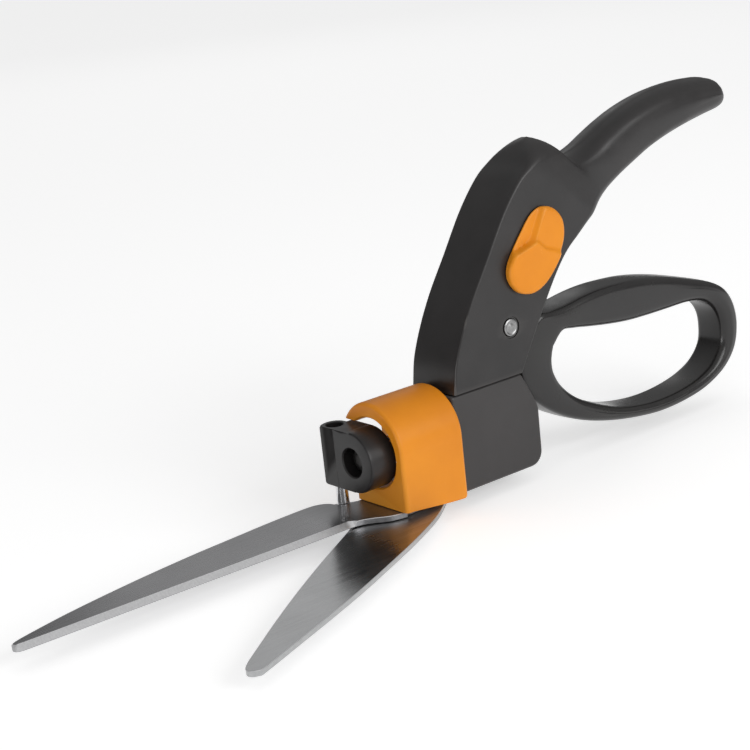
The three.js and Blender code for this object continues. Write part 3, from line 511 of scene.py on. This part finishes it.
# ---------------------------------------------------------------- finger loop
# Each row is a station round the grip: outer x, outer z, inner x, inner z, half width, outer corner, inner corner.
LOOP_STATIONS = [
    (-18.5, 55.2, -25.8, 41.4, 8.0, 2.4, 3.0), (-26, 55.2, -31, 45.9, 8.0, 2.6, 3.0),
    (-34, 55.6, -37.5, 45.4, 8.0, 2.6, 3.2), (-44, 57.0, -46, 43.9, 8.0, 2.8, 3.4),
    (-54, 57.7, -56, 42.3, 8.0, 3.0, 3.6), (-65, 57.4, -67, 41.0, 8.0, 3.2, 3.8),
    (-76, 56.4, -78, 40.5, 8.0, 3.4, 4.0), (-90, 53.7, -90, 40.4, 8.0, 3.4, 4.0),
    (-105, 49.4, -101, 40.5, 8.0, 3.2, 3.6), (-116.5, 45.5, -109.5, 39.3, 8.0, 3.0, 3.4),
    (-124, 41, -115.6, 35.8, 8.0, 3.0, 3.4), (-128.6, 34.2, -119.3, 30.8, 8.0, 3.0, 3.4),
    (-130.2, 25.4, -120.5, 24.8, 8.0, 3.0, 3.4), (-128, 15.8, -119.4, 17.6, 8.0, 3.0, 3.4),
    (-121, 8.4, -114, 11.6, 8.0, 2.8, 3.0), (-110, 3.3, -105, 7.8, 8.0, 2.6, 2.6),
    (-97, 0.8, -94, 5.8, 8.0, 2.5, 2.5), (-83, 0.05, -82.5, 5.2, 8.0, 2.5, 2.5),
    (-70, 1.1, -71, 6.0, 8.0, 2.5, 2.5), (-55, 3.6, -58, 8.5, 8.0, 2.6, 2.6),
    (-40, 7.7, -46, 13.1, 8.0, 2.6, 3.0), (-28, 12.9, -36, 18.4, 8.0, 2.6, 3.2),
    (-18, 19.4, -28.6, 25.0, 8.0, 2.4, 3.2), (-10.5, 26.4, -25, 31.2, 8.0, 2.2, 3.2),
    (-7.2, 33.4, -24.4, 35.6, 8.0, 2.0, 3.2), (-7.8, 42, -24.8, 38.6, 8.0, 2.0, 3.0),
    (-12.6, 49.6, -25.3, 40.2, 8.0, 2.2, 3.0),
]
LOOP_CROWN = 0.22
loop_rings = [station_ring(row, LOOP_CROWN) for row in curve(LOOP_STATIONS, 200, closed=True, along=4)]
loop = loft("loop", loop_rings, closed=True)
LINK_DROP = 34.2  # from the lever's pivot down to the link pin
swing = math.atan2(11, LINK_DROP)
lever_outline = [(-22, 48), (-10, 63), (-6, 66.4), (-1, 67.4), (4, 65.6), (7.4, 61.6), (10.2, 55), (11.4, 44),
                 (16.0, 24), (15.9, 19.6), (14.2, 16.9), (11.4, 15.9), (8.4, 16.4), (6.3, 18.4), (5.2, 21),
                 (0, 34), (-7, 40)]
lever = prism("lever", lever_outline, -4.5, 4.5, "y")
soften(lever, 0.7, 3, 25)
link = [(reach * math.sin(swing), RIVET_Z - reach * math.cos(swing)) for reach in (34.1, 36.0)]
SECTOR_RADIUS = 16
sector_turns = [math.radians(d) for d in range(-38, 25, 3)]
sector_rim = [lock_point(SECTOR_RADIUS * math.cos(a), SECTOR_RADIUS * math.sin(a)) for a in sector_turns]
sector_outline = [lock_point(4, -6), *sector_rim, lock_point(4, 6)]
sector = soften(prism("sector", sector_outline, 4.1, 8.2, "y"), 0.3, 2, 40)
hub = shaft("hub", "y", (0, RIVET_Z), 7.4, -8.2, 8.2, 0.5)
join(lever, sector, hub)
full_swing = swing + math.atan2(2.5, LINK_DROP)


def notch(turn):
    """Where the lock's catch enters the lever, with the lever turned this far."""
    corners = [(11.2, -1.45), (11.2, 1.45), (17.5, 1.45), (17.5, -1.45)]
    turned = [(o * math.cos(turn) - a * math.sin(turn), o * math.sin(turn) + a * math.cos(turn)) for o, a in corners]
    return prism("notch", [lock_point(*c) for c in turned], 3.9, 12, "y")


cut(lever, shaft("bush_hole", "y", (0, RIVET_Z), 5.2, -20, 20),
    prism("link_slot", slot_outline(link[0], link[1], 2.3), -9, 9, "y"), notch(0), notch(-full_swing))
gather(loop, lever)
piece(loop, "lever", LOOP, ["finger_loop"], sharp=34)
piece(ring_of("lever_bearing", "y", (0, RIVET_Z), 5.0, 3.6, -8.6, 8.6), "lever", BRONZE, ["lever_bush"])

# ---------------------------------------------------------------- draw rod
rod_profile = [(18.6, 0), (18.6, 2.3), (18.8, 2.5), (59.5, 2.5), *grooves(60, 0.65, 9, 2.5),
               (65.9, 2.5), (66.2, 2.2), (66.2, 0)]
piece(lathe("rod", rod_profile, "x", (0, SWIVEL_Z), 40), "rod", DARK, ["draw_rod"])
clevis = brick("clevis", (6.1, 16.7), (22.6, 26.3), -7.8, 7.8, "y")
soften(clevis, 0.7, 3, 40)
cut(clevis, brick("mouth", (5, 15), (18.2, 28), -4.9, 4.9, "y"),
    shaft("pin_hole", "y", (11, SWIVEL_Z), 2.15, -9, 9), shaft("rod_hole", "x", (0, SWIVEL_Z), 2.65, 16, 24))
piece(clevis, "rod", PLAIN, ["rod_clevis"])
piece(shaft("cross_pin", "y", (11, SWIVEL_Z), 2.0, -7.7, 7.7, 0.35, 40), "rod", PLAIN, ["link_pin"])


def nut(name, axis, at, across, hole, low, high):
    """A hexagon nut with its corners turned down at both ends."""
    made = prism(name, hexagon(at, across), low, high, axis)
    c = across * 0.14
    profile = [(low, 0), (low, across - c), (low + c * 0.6, across + 0.02),
               (high - c * 0.6, across + 0.02), (high, across - c), (high, 0)]
    turned = lathe("turned", profile, axis, at, 60)
    combine(made, [turned], "INTERSECT")
    soften(made, 0.12, 2, 25)
    return cut(made, shaft("hole", axis, at, hole, low - 2, high + 2))


piece(nut("rod_lock_nut", "x", (0, SWIVEL_Z), 4.6, 2.65, 63.8, 65.8), "rod", DARK, ["rod_nut"])

# ---------------------------------------------------------------- swivelling head
collar_outline = [(16.8, 0.2)] + arc_points(0, 24.3, 16.8, 0, 180, 60) + [(-16.8, 0.2)]
collar = prism("collar", collar_outline, 31.5, 60.5, "x")
soften(collar, 1.5, 5, 40)
cut(
    collar,
    prism("under", [(66, -4), (66, 3.2), (57.5, 3.2), (30, 0.1), (30, -4)], -20, 20, "y"),
    brick("under_flat", (-13.9, -2), (13.9, 3.2), 30, 58.5, "x"),
)
soften(collar, 0.35, 2, 40)
BORE_Z = 22.6
bore_profile = [(38.2, 0), (38.2, 12.4), (38.8, 13), (59.8, 13), (60.6, 13.7), (63, 13.7), (63, 0)]
bore = lathe("bore", bore_profile, "x", (0, BORE_Z), 96)
pin_slot = arc_points(50.4, EYE[1], 2.8, 90, 270, 16) + [(50.4, -20), (66, -20), (66, EYE[1] + 2.8)]
cut(
    collar, bore, shaft("neck", "x", (0, SWIVEL_Z), 8.9, 30, 39),
    soften(brick("window", (-20, 10), (-3, 33.4), 42, 63, "x"), 1.2, 4, 40),
    prism("pin_slot", pin_slot, -2, 12, "z"),
    shaft("bolt_hole", "z", (PIVOT_X, 0), 3.8, 0, 12), shaft("bolt_sink", "z", (PIVOT_X, 0), 5.8, 6.6, 14),
    *(shaft("screw_hole", "z", at, 1.6, 0, 7.6) for at in BLADE_SCREWS),
)
piece(collar, "head", ORANGE, ["swivel_collar"], sharp=36)
piece(ring_of("collar_bearing", "x", (0, SWIVEL_Z), 8.6, 7.5, 31.7, 38.2), "head", BRONZE, ["swivel_bush"])
# The return spring stands on the head, and the block is drawn back onto it; here it is drawn at one length.
SPRING_REAR, SPRING_FRONT, BLOCK_TRAVEL = 41.3, 61.1, STROKE
head_spring = helix("head_spring", 5.2, 0.55, 5.5, SPRING_REAR, SPRING_FRONT, SWIVEL_Z)
piece(head_spring, "head", BRIGHT, ["return_spring"])
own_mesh(head_spring)

# ---------------------------------------------------------------- blades
UPPER_OUTLINE_FAR = [
    (63.5, -9.9), (66.9, -10.7), (68.8, -13.2), (69.8, -16.4), (72.6, -18.8), (78, -19.85), (94, -19.3),
    (112, -17.8), (130, -16.2), (150, -13.6), (168, -10.6), (184, -7.4), (196, -4.4), (204, -2.1),
    (207.3, -0.6), (208.2, 1.2), (207.4, 2.7), (205.6, 3.3),
]
UPPER_OUTLINE_NEAR = [
    (205.6, 3.3), (200, 3.5), (182, 3.9), (150, 4.6), (104, 5.7), (80, 6.0), (74.6, 6.5), (70, 8.7),
    (64.5, 12.6), (58.6, 14.3),
]


def blade_plate(name, outline, ground, low, high, slope_up):
    """A plate with a ground bevel, as wide at each point of its outline as ground says, on its top or its underside."""
    outline = np.array(outline)
    ahead = np.roll(outline, -1, 0) - outline
    behind = outline - np.roll(outline, 1, 0)
    ahead /= np.linalg.norm(ahead, axis=1)[:, None] + 1e-9
    behind /= np.linalg.norm(behind, axis=1)[:, None] + 1e-9
    tangent = ahead + behind
    tangent /= np.linalg.norm(tangent, axis=1)[:, None] + 1e-9
    area = np.sum(outline[:, 0] * np.roll(outline[:, 1], -1) - np.roll(outline[:, 0], -1) * outline[:, 1])
    inward = np.column_stack([-tangent[:, 1], tangent[:, 0]]) * (1 if area > 0 else -1)
    width = np.array(ground)[:, None]
    edge = np.where(width > 0.5, 0.25, high - low - 0.18)
    inset = outline + inward * np.maximum(width, 0.18)
    sharp = outline + inward * 0.12
    rings = [[(x, y, z) for x, y in points] for points, z in ((sharp, low), (outline, low + 0.12))]
    rings.append([(x, y, low + 0.12 + max(e - 0.12, 0.02)) for (x, y), e in zip(outline, edge[:, 0])])
    rings.append([(x, y, high) for x, y in inset])
    if not slope_up:
        rings = [[(x, y, low + high - z) for x, y, z in ring] for ring in rings]
    return loft(name, rings)


def resample(points, step=1.2):
    """A smooth curve through the points, at about this step, without its last point."""
    points = np.array(points, float)
    length = np.sum(np.linalg.norm(np.diff(points, axis=0), axis=1))
    return curve(points, max(int(length / step), 4))[:-1]


far_side = resample(UPPER_OUTLINE_FAR)
near_side = resample(UPPER_OUTLINE_NEAR)
heel = [(58.6, 14.3), (56.4, 12.9), (34, 12.6), (34, -9.9)]
upper_outline = np.vstack([far_side, near_side, heel])
x_near = near_side[:, 0]
upper_ground = np.concatenate([
    2.15 * np.clip((far_side[:, 1] + 0.6) / 3.4, 0, 1) * (far_side[:, 0] > 204),
    2.15 * np.clip((x_near - 74.5) / 2.5, 0, 1),
    np.zeros(len(heel)),
])
upper = blade_plate("fixed_blade", upper_outline, upper_ground, 0.9, 2.9, True)
cut(upper, shaft("bolt_hole", "z", (PIVOT_X, 0), 3.8, -1, 5),
    *(shaft("screw_hole", "z", at, 1.7, -1, 5) for at in BLADE_SCREWS),
    *(shaft("screw_sink", "z", at, 3.1, -1, 2.0) for at in BLADE_SCREWS))


def two_tone(made):
    """Faces that slope like a ground bevel take the ground material."""
    made.data.materials.append(GROUND)
    for face in made.data.polygons:
        face.material_index = 1 if 0.3 < abs(face.normal.z) < 0.97 else 0


piece(upper, "head", UPPER, ["upper_blade"], sharp=18)
two_tone(upper)

# The lower blade is drawn closed, with its pivot at the origin.
LOWER_BACK = [(2.4, -20.4), (5.2, -26.4), (11, -28.2), (15.6, -24.6), (16.4, -18.4), (21, -13.4), (30, -12.1),
              (60, -11.6), (85, -10.6), (106, -9.2), (124, -7.6), (136, -6.4), (140.6, -5), (141.6, -2.6), (140, 0)]
LOWER_FRONT = [(140, 0), (130, 1.8), (118, 3.8), (100, 6.9), (80, 10), (60, 12.4), (36, 14.8), (14, 15.6),
               (-4, 13.8)]
LOWER_HEEL = [(-4, 13.8), (-11, 7.4), (-12.2, -1), (-8, -9), (-1, -15.2), (2.4, -20.4)]
back_side, front_side, heel_side = map(resample, (LOWER_BACK, LOWER_FRONT, LOWER_HEEL))
lower_outline = np.vstack([back_side, front_side, heel_side])
x_back = back_side[:, 0]
back_ground = 1.5 * np.clip((139 - x_back) / 6, 0, 1) * np.clip((x_back - 30) / 6, 0, 1)
back_ground = back_ground * (back_side[:, 1] > -16)
lower_ground = np.concatenate([back_ground, np.zeros(len(front_side) + len(heel_side))])
lower = blade_plate("swinging_blade", lower_outline, lower_ground, -1.5, 0.5, False)
# The curved slot is the path of the drive pin over the blade as the block is drawn back.
CAM_STEPS, CAM_HALF = 16, 2.7
cam = []
for k in range(CAM_STEPS + 1):
    done = k / CAM_STEPS
    x, y = EYE[0] - PIVOT_X - STROKE * done, EYE[1]
    a = -BLADE_OPEN * (1 - done)
    cam.append((x * math.cos(a) - y * math.sin(a), x * math.sin(a) + y * math.cos(a)))
cam = np.array(cam)
step = np.gradient(cam, axis=0)
step /= np.linalg.norm(step, axis=1)[:, None]
side = np.column_stack([-step[:, 1], step[:, 0]]) * CAM_HALF
start_turn = math.degrees(math.atan2(*step[0][::-1]))
end_turn = math.degrees(math.atan2(*step[-1][::-1]))
cam_outline = [tuple(p) for p in cam + side]
cam_outline += arc_points(*cam[-1], CAM_HALF, end_turn + 90, end_turn - 90, 12)[1:-1]
cam_outline += [tuple(p) for p in (cam - side)[::-1]]
cam_outline += arc_points(*cam[0], CAM_HALF, start_turn - 90, start_turn - 270, 12)[1:-1]
cut(lower, prism("cam", cam_outline, -4, 4, "z"), shaft("bush_hole", "z", (0, 0), 5.5, -4, 4))
lower.data.transform(Matrix.Rotation(BLADE_OPEN, 4, "Z"))
lower.data.transform(Matrix.Translation((PIVOT_X * MM, 0, 0)))
piece(lower, "blade", LOWER, ["lower_blade"], sharp=18)
two_tone(lower)
piece(ring_of("blade_bearing", "z", (PIVOT_X, 0), 5.2, 3.8, -1.6, 0.6), "blade", BRONZE, ["blade_bush"])

BLADE_SCREW = [(0.9, 0), (0.9, 2.6), (1.1, 2.8), (1.7, 2.8), (1.7, 1.3), (7.0, 1.3), (7.2, 1.1), (7.2, 0)]
for number, at in enumerate(BLADE_SCREWS, 1):
    screw = lathe("screw", BLADE_SCREW, "z", at, 40)
    cut(screw, prism("socket", hexagon(at, 1.2), 0, 1.5, "z"))
    screw.name = f"blade_fixing_{number}"
    piece(screw, "head", PLAIN, [f"blade_screw_{number}"])
bolt_profile = [(-6, 0), (-6, 3.1), (-5.7, 3.45), *grooves(-5.5, 0.6, 7, 3.5), (-1.2, 3.5), (6.9, 3.5),
                (6.9, 5.2), (7.1, 5.4), (8.5, 5.4), (9.1, 4.9), (9.3, 4.2), (9.3, 0)]
bolt = lathe("bolt", bolt_profile, "z", (PIVOT_X, 0))
cut(bolt, prism("socket", hexagon((PIVOT_X, 0), 2.3), 7.6, 12, "z"))
piece(bolt, "head", PLAIN, ["pivot_bolt"])
washer = ring_of("wave_washer", "z", (PIVOT_X, 0), 7.0, 3.8, -2.5, -1.9, 0.12)
piece(washer, "head", DARK, ["spring_washer"])
piece(nut("lock_nut", "z", (PIVOT_X, 0), 7.2, 3.65, -6.2, -2.8), "head", PLAIN, ["pivot_nut"])

# ---------------------------------------------------------------- coupling block
TALL = 11.0  # half the height of the eye
drum_profile = [(58.3, 0), (58.3, 10.4), (58.55, 11.0), (59.2, 11.3), (68.6, 11.3), (69.3, 11.05), (69.65, 10.5),
                (69.65, 0)]
drum = lathe("block", drum_profile, "x", (0, SWIVEL_Z), 96)
low, high = SWIVEL_Z - TALL, SWIVEL_Z + TALL
bridge = brick("bridge", (EYE[1] + 1, low), (0, high), 58.4, 69.6, "x")
eye_profile = [(low, 0), (low, 4.7), (low + 0.25, 5.25), (low + 0.8, 5.5),
               (high - 0.8, 5.5), (high - 0.25, 5.25), (high, 4.7), (high, 0)]
join(drum, bridge, lathe("eye", eye_profile, "z", EYE, 72))
cut(drum, brick("trim", (-30, 0), (30, 60), 69.65, 80, "x"))
soften(drum, 0.55, 3, 50)
counterbore = [(63.4, 0), (63.4, 5.35), (69.2, 5.35), (69.8, 5.9), (72, 5.9), (72, 0)]
pin_sink = [(high - 2.2, 0), (high - 2.2, 3.2), (high - 0.3, 3.2), (high + 0.3, 3.7), (high + 2, 3.7), (high + 2, 0)]
cut(drum, lathe("counterbore", counterbore, "x", (0, SWIVEL_Z)), shaft("rod_hole", "x", (0, SWIVEL_Z), 2.8, 55, 66),
    shaft("spring_seat", "x", (0, SWIVEL_Z), 6.9, 55, 61.4), lathe("pin_sink", pin_sink, "z", EYE),
    shaft("pin_hole", "z", EYE, 2.45, low - 2, high - 1))
piece(drum, "block", BLOCK, ["coupling_block"], sharp=36)
pin_profile = [(-3.4, 0), (-3.4, 2.0), (-3.1, 2.3), (-2.7, 2.3), (-2.7, 1.8), (-1.9, 1.8), (-1.9, 2.3), (29.5, 2.3),
               (29.9, 1.9), (29.9, 0)]
piece(lathe("pin", pin_profile, "z", EYE), "block", BRIGHT, ["drive_pin"])
pin_ring = ring_of("pin_ring", "z", EYE, 3.6, 2.0, -2.6, -2.0, 0.1)
cut(pin_ring, brick("mouth", (EYE[0] - 1.4, EYE[1] - 6), (EYE[0] + 1.4, EYE[1]), -6, 2, "z"))
piece(pin_ring, "block", DARK, ["pin_clip"])

# ---------------------------------------------------------------- lock
CAP_OUTLINE = [(16.8, -1.5), (15.4, 4.0), (10.8, 7.6), (3.0, 9.6), (-5.0, 11.0), (-10.8, 11.0), (-14.8, 8.2),
               (-16.9, 2.6), (-15.4, -3.6), (-11.4, -7.6), (-5.6, -9.9), (2.0, -11.0), (9.0, -10.6), (14.6, -7.4)]


def smooth_step(value, width):
    return 0.5 + 0.5 * math.tanh(value / width)


def cap_height(out, across):
    """The button's face: a thumb pad on its lower half, a shallow scoop above, and a steep flank to the front."""
    crest = 2.6 - max(across - 3.4, 0) * 0.9 - 0.9 * math.exp(-((across + 2.5) / 3) ** 2)
    pad = 16.35 + 0.075 * (out - 3)
    scoop = 15.2 - 0.02 * (out - 3) - 1.3 * max(across - 3.2, 0)
    on_pad = smooth_step(crest - out, 0.55)
    return max(on_pad * pad + (1 - on_pad) * scoop, 13.2)


cap_edge = curve(CAP_OUTLINE, 96, closed=True)
cap_centre = cap_edge.mean(0)
cap_rings = []
for scale, y in ((0.90, 12.3), (0.985, 12.3), (1.0, 12.5)):
    cap_rings.append([(*(cap_centre + (p - cap_centre) * scale), y) for p in cap_edge])
for turn in np.linspace(0, 1, 7):
    a = turn * math.pi / 2
    ring = []
    for p in cap_edge:
        inner = cap_centre + (p - cap_centre) * (1 - 0.115 * (1 - math.cos(a)))
        ring.append((*inner, 12.5 + (cap_height(*inner) - 12.5) * (0.45 + 0.55 * math.sin(a))))
    cap_rings.append(ring)
for scale in np.linspace(0.885, 0.02, 22)[1:]:
    inner = [cap_centre + (p - cap_centre) * scale for p in cap_edge]
    cap_rings.append([(*p, cap_height(*p)) for p in inner])


def lock_place(out, across, y):
    x, z = lock_point(LOCK_REST + out, across)
    return (x, y, z)


cap = loft("cap", [[lock_place(*p) for p in ring] for ring in cap_rings])
lock_at = lock_point(LOCK_REST, 0)
gather(cap, cut(shaft("stem", "y", lock_at, 2.5, 8.6, 13.0, 0.2), shaft("hole", "y", lock_at, 1.4, 0, 12.6)))
piece(cap, "lock", ORANGE, ["lock_button"], sharp=60)
CATCH = [(16.8, -1.1), (16.8, 1.1), (22.8, 1.1), (24.8, 5), (36.6, 5), (36.6, -5), (24.8, -5), (22.8, -1.1)]
catch = soften(prism("catch", [lock_point(*p) for p in CATCH], 5.3, 8.3, "y"), 0.3, 2)
cut(catch, shaft("hole", "y", lock_at, 1.4, 0, 12))
piece(catch, "lock", GREY, ["lock_catch"])
fixing_profile = [(3.4, 0), (3.4, 2.0), (3.6, 2.3), (4.6, 2.4), (5.0, 2.4), (5.0, 1.1), (12.8, 1.1), (13.0, 0.9),
                  (13.0, 0)]
fixing = lathe("fixing", fixing_profile, "y", lock_at, 40)
piece(fixing, "lock", DARK, ["lock_screw"])

# ---------------------------------------------------------------- floor, light and camera
FLOOR_REACH, FLOOR_GAP = 9000, 0.2
floor_level = cad_box[0][2] / MM - FLOOR_GAP
corners = [(x * FLOOR_REACH, y * FLOOR_REACH, floor_level) for x, y in ((-1, -1), (1, -1), (1, 1), (-1, 1))]
floor = new_object("floor", corners, [(0, 1, 2, 3)])
paper = bpy.data.materials.new("paper")
paper.use_nodes = True
sheet = paper.node_tree.nodes["Principled BSDF"].inputs
sheet["Base Color"].default_value = (0.93, 0.93, 0.93, 1)
sheet["Roughness"].default_value = 0.9
sheet["Emission Color"].default_value = (1, 1, 1, 1)
sheet["Emission Strength"].default_value = 0.42
floor.data.materials.append(paper)

# The studio is brighter overhead and on the near side.
world = bpy.data.worlds.new("studio")
bpy.context.scene.world = world
world.use_nodes = True
tree = world.node_tree
background = tree.nodes["Background"]
split = tree.nodes.new("ShaderNodeSeparateXYZ")
tree.links.new(tree.nodes.new("ShaderNodeTexCoord").outputs["Generated"], split.inputs[0])


def world_range(socket, low, high, start, end):
    made = tree.nodes.new("ShaderNodeMapRange")
    tree.links.new(split.outputs[socket], made.inputs[0])
    for k, number in enumerate((low, high, start, end), 1):
        made.inputs[k].default_value = number
    return made.outputs[0]


total = tree.nodes.new("ShaderNodeMath")
tree.links.new(world_range("Z", 0.1, 0.9, 0.14, 0.52), total.inputs[0])
tree.links.new(world_range("Y", -0.1, 0.9, 0.0, 0.28), total.inputs[1])
tree.links.new(total.outputs[0], background.inputs["Color"])
background.inputs["Strength"].default_value = 1.0


def softbox(name, place, size, power, target=(0.02, 0, 0.05)):
    """A rectangular light, in metres, that faces the target."""
    data = bpy.data.lights.new(name, "AREA")
    data.shape = "RECTANGLE"
    data.size, data.size_y = size
    data.energy = power
    made = bpy.data.objects.new(name, data)
    made.location = place
    made.rotation_euler = (Vector(target) - Vector(place)).to_track_quat("-Z", "Y").to_euler()
    bpy.context.scene.collection.objects.link(made)


softbox("key", (-0.25, 1.30, 0.62), (1.1, 0.7), 9)
softbox("front_fill", (1.35, 0.45, 0.12), (0.5, 0.3), 3.4)
softbox("far_panel", (-1.0, -1.55, 0.85), (0.7, 0.5), 0.6)

# The camera stands at this azimuth from +Y and this elevation, and is rolled about its own axis.
azimuth, lift, roll = (math.radians(d) for d in (37.4, 15.8, -6.3))
back = Vector((math.sin(azimuth) * math.cos(lift), math.cos(azimuth) * math.cos(lift), math.sin(lift)))
level = Vector((-math.cos(azimuth), math.sin(azimuth), 0))
upward = back.cross(level)
right = math.cos(roll) * level + math.sin(roll) * upward
above = back.cross(right)
camera_data = bpy.data.cameras.new("camera")
camera_data.lens = 86.4
camera_data.sensor_width = 36
camera = bpy.data.objects.new("camera", camera_data)
bpy.context.scene.collection.objects.link(camera)
turn = Matrix((right, above, back)).transposed().to_4x4()
camera.matrix_world = Matrix.Translation((0.4260, 0.4850, 0.2230)) @ turn
bpy.context.scene.camera = camera
bpy.context.scene.view_settings.view_transform = "Standard"
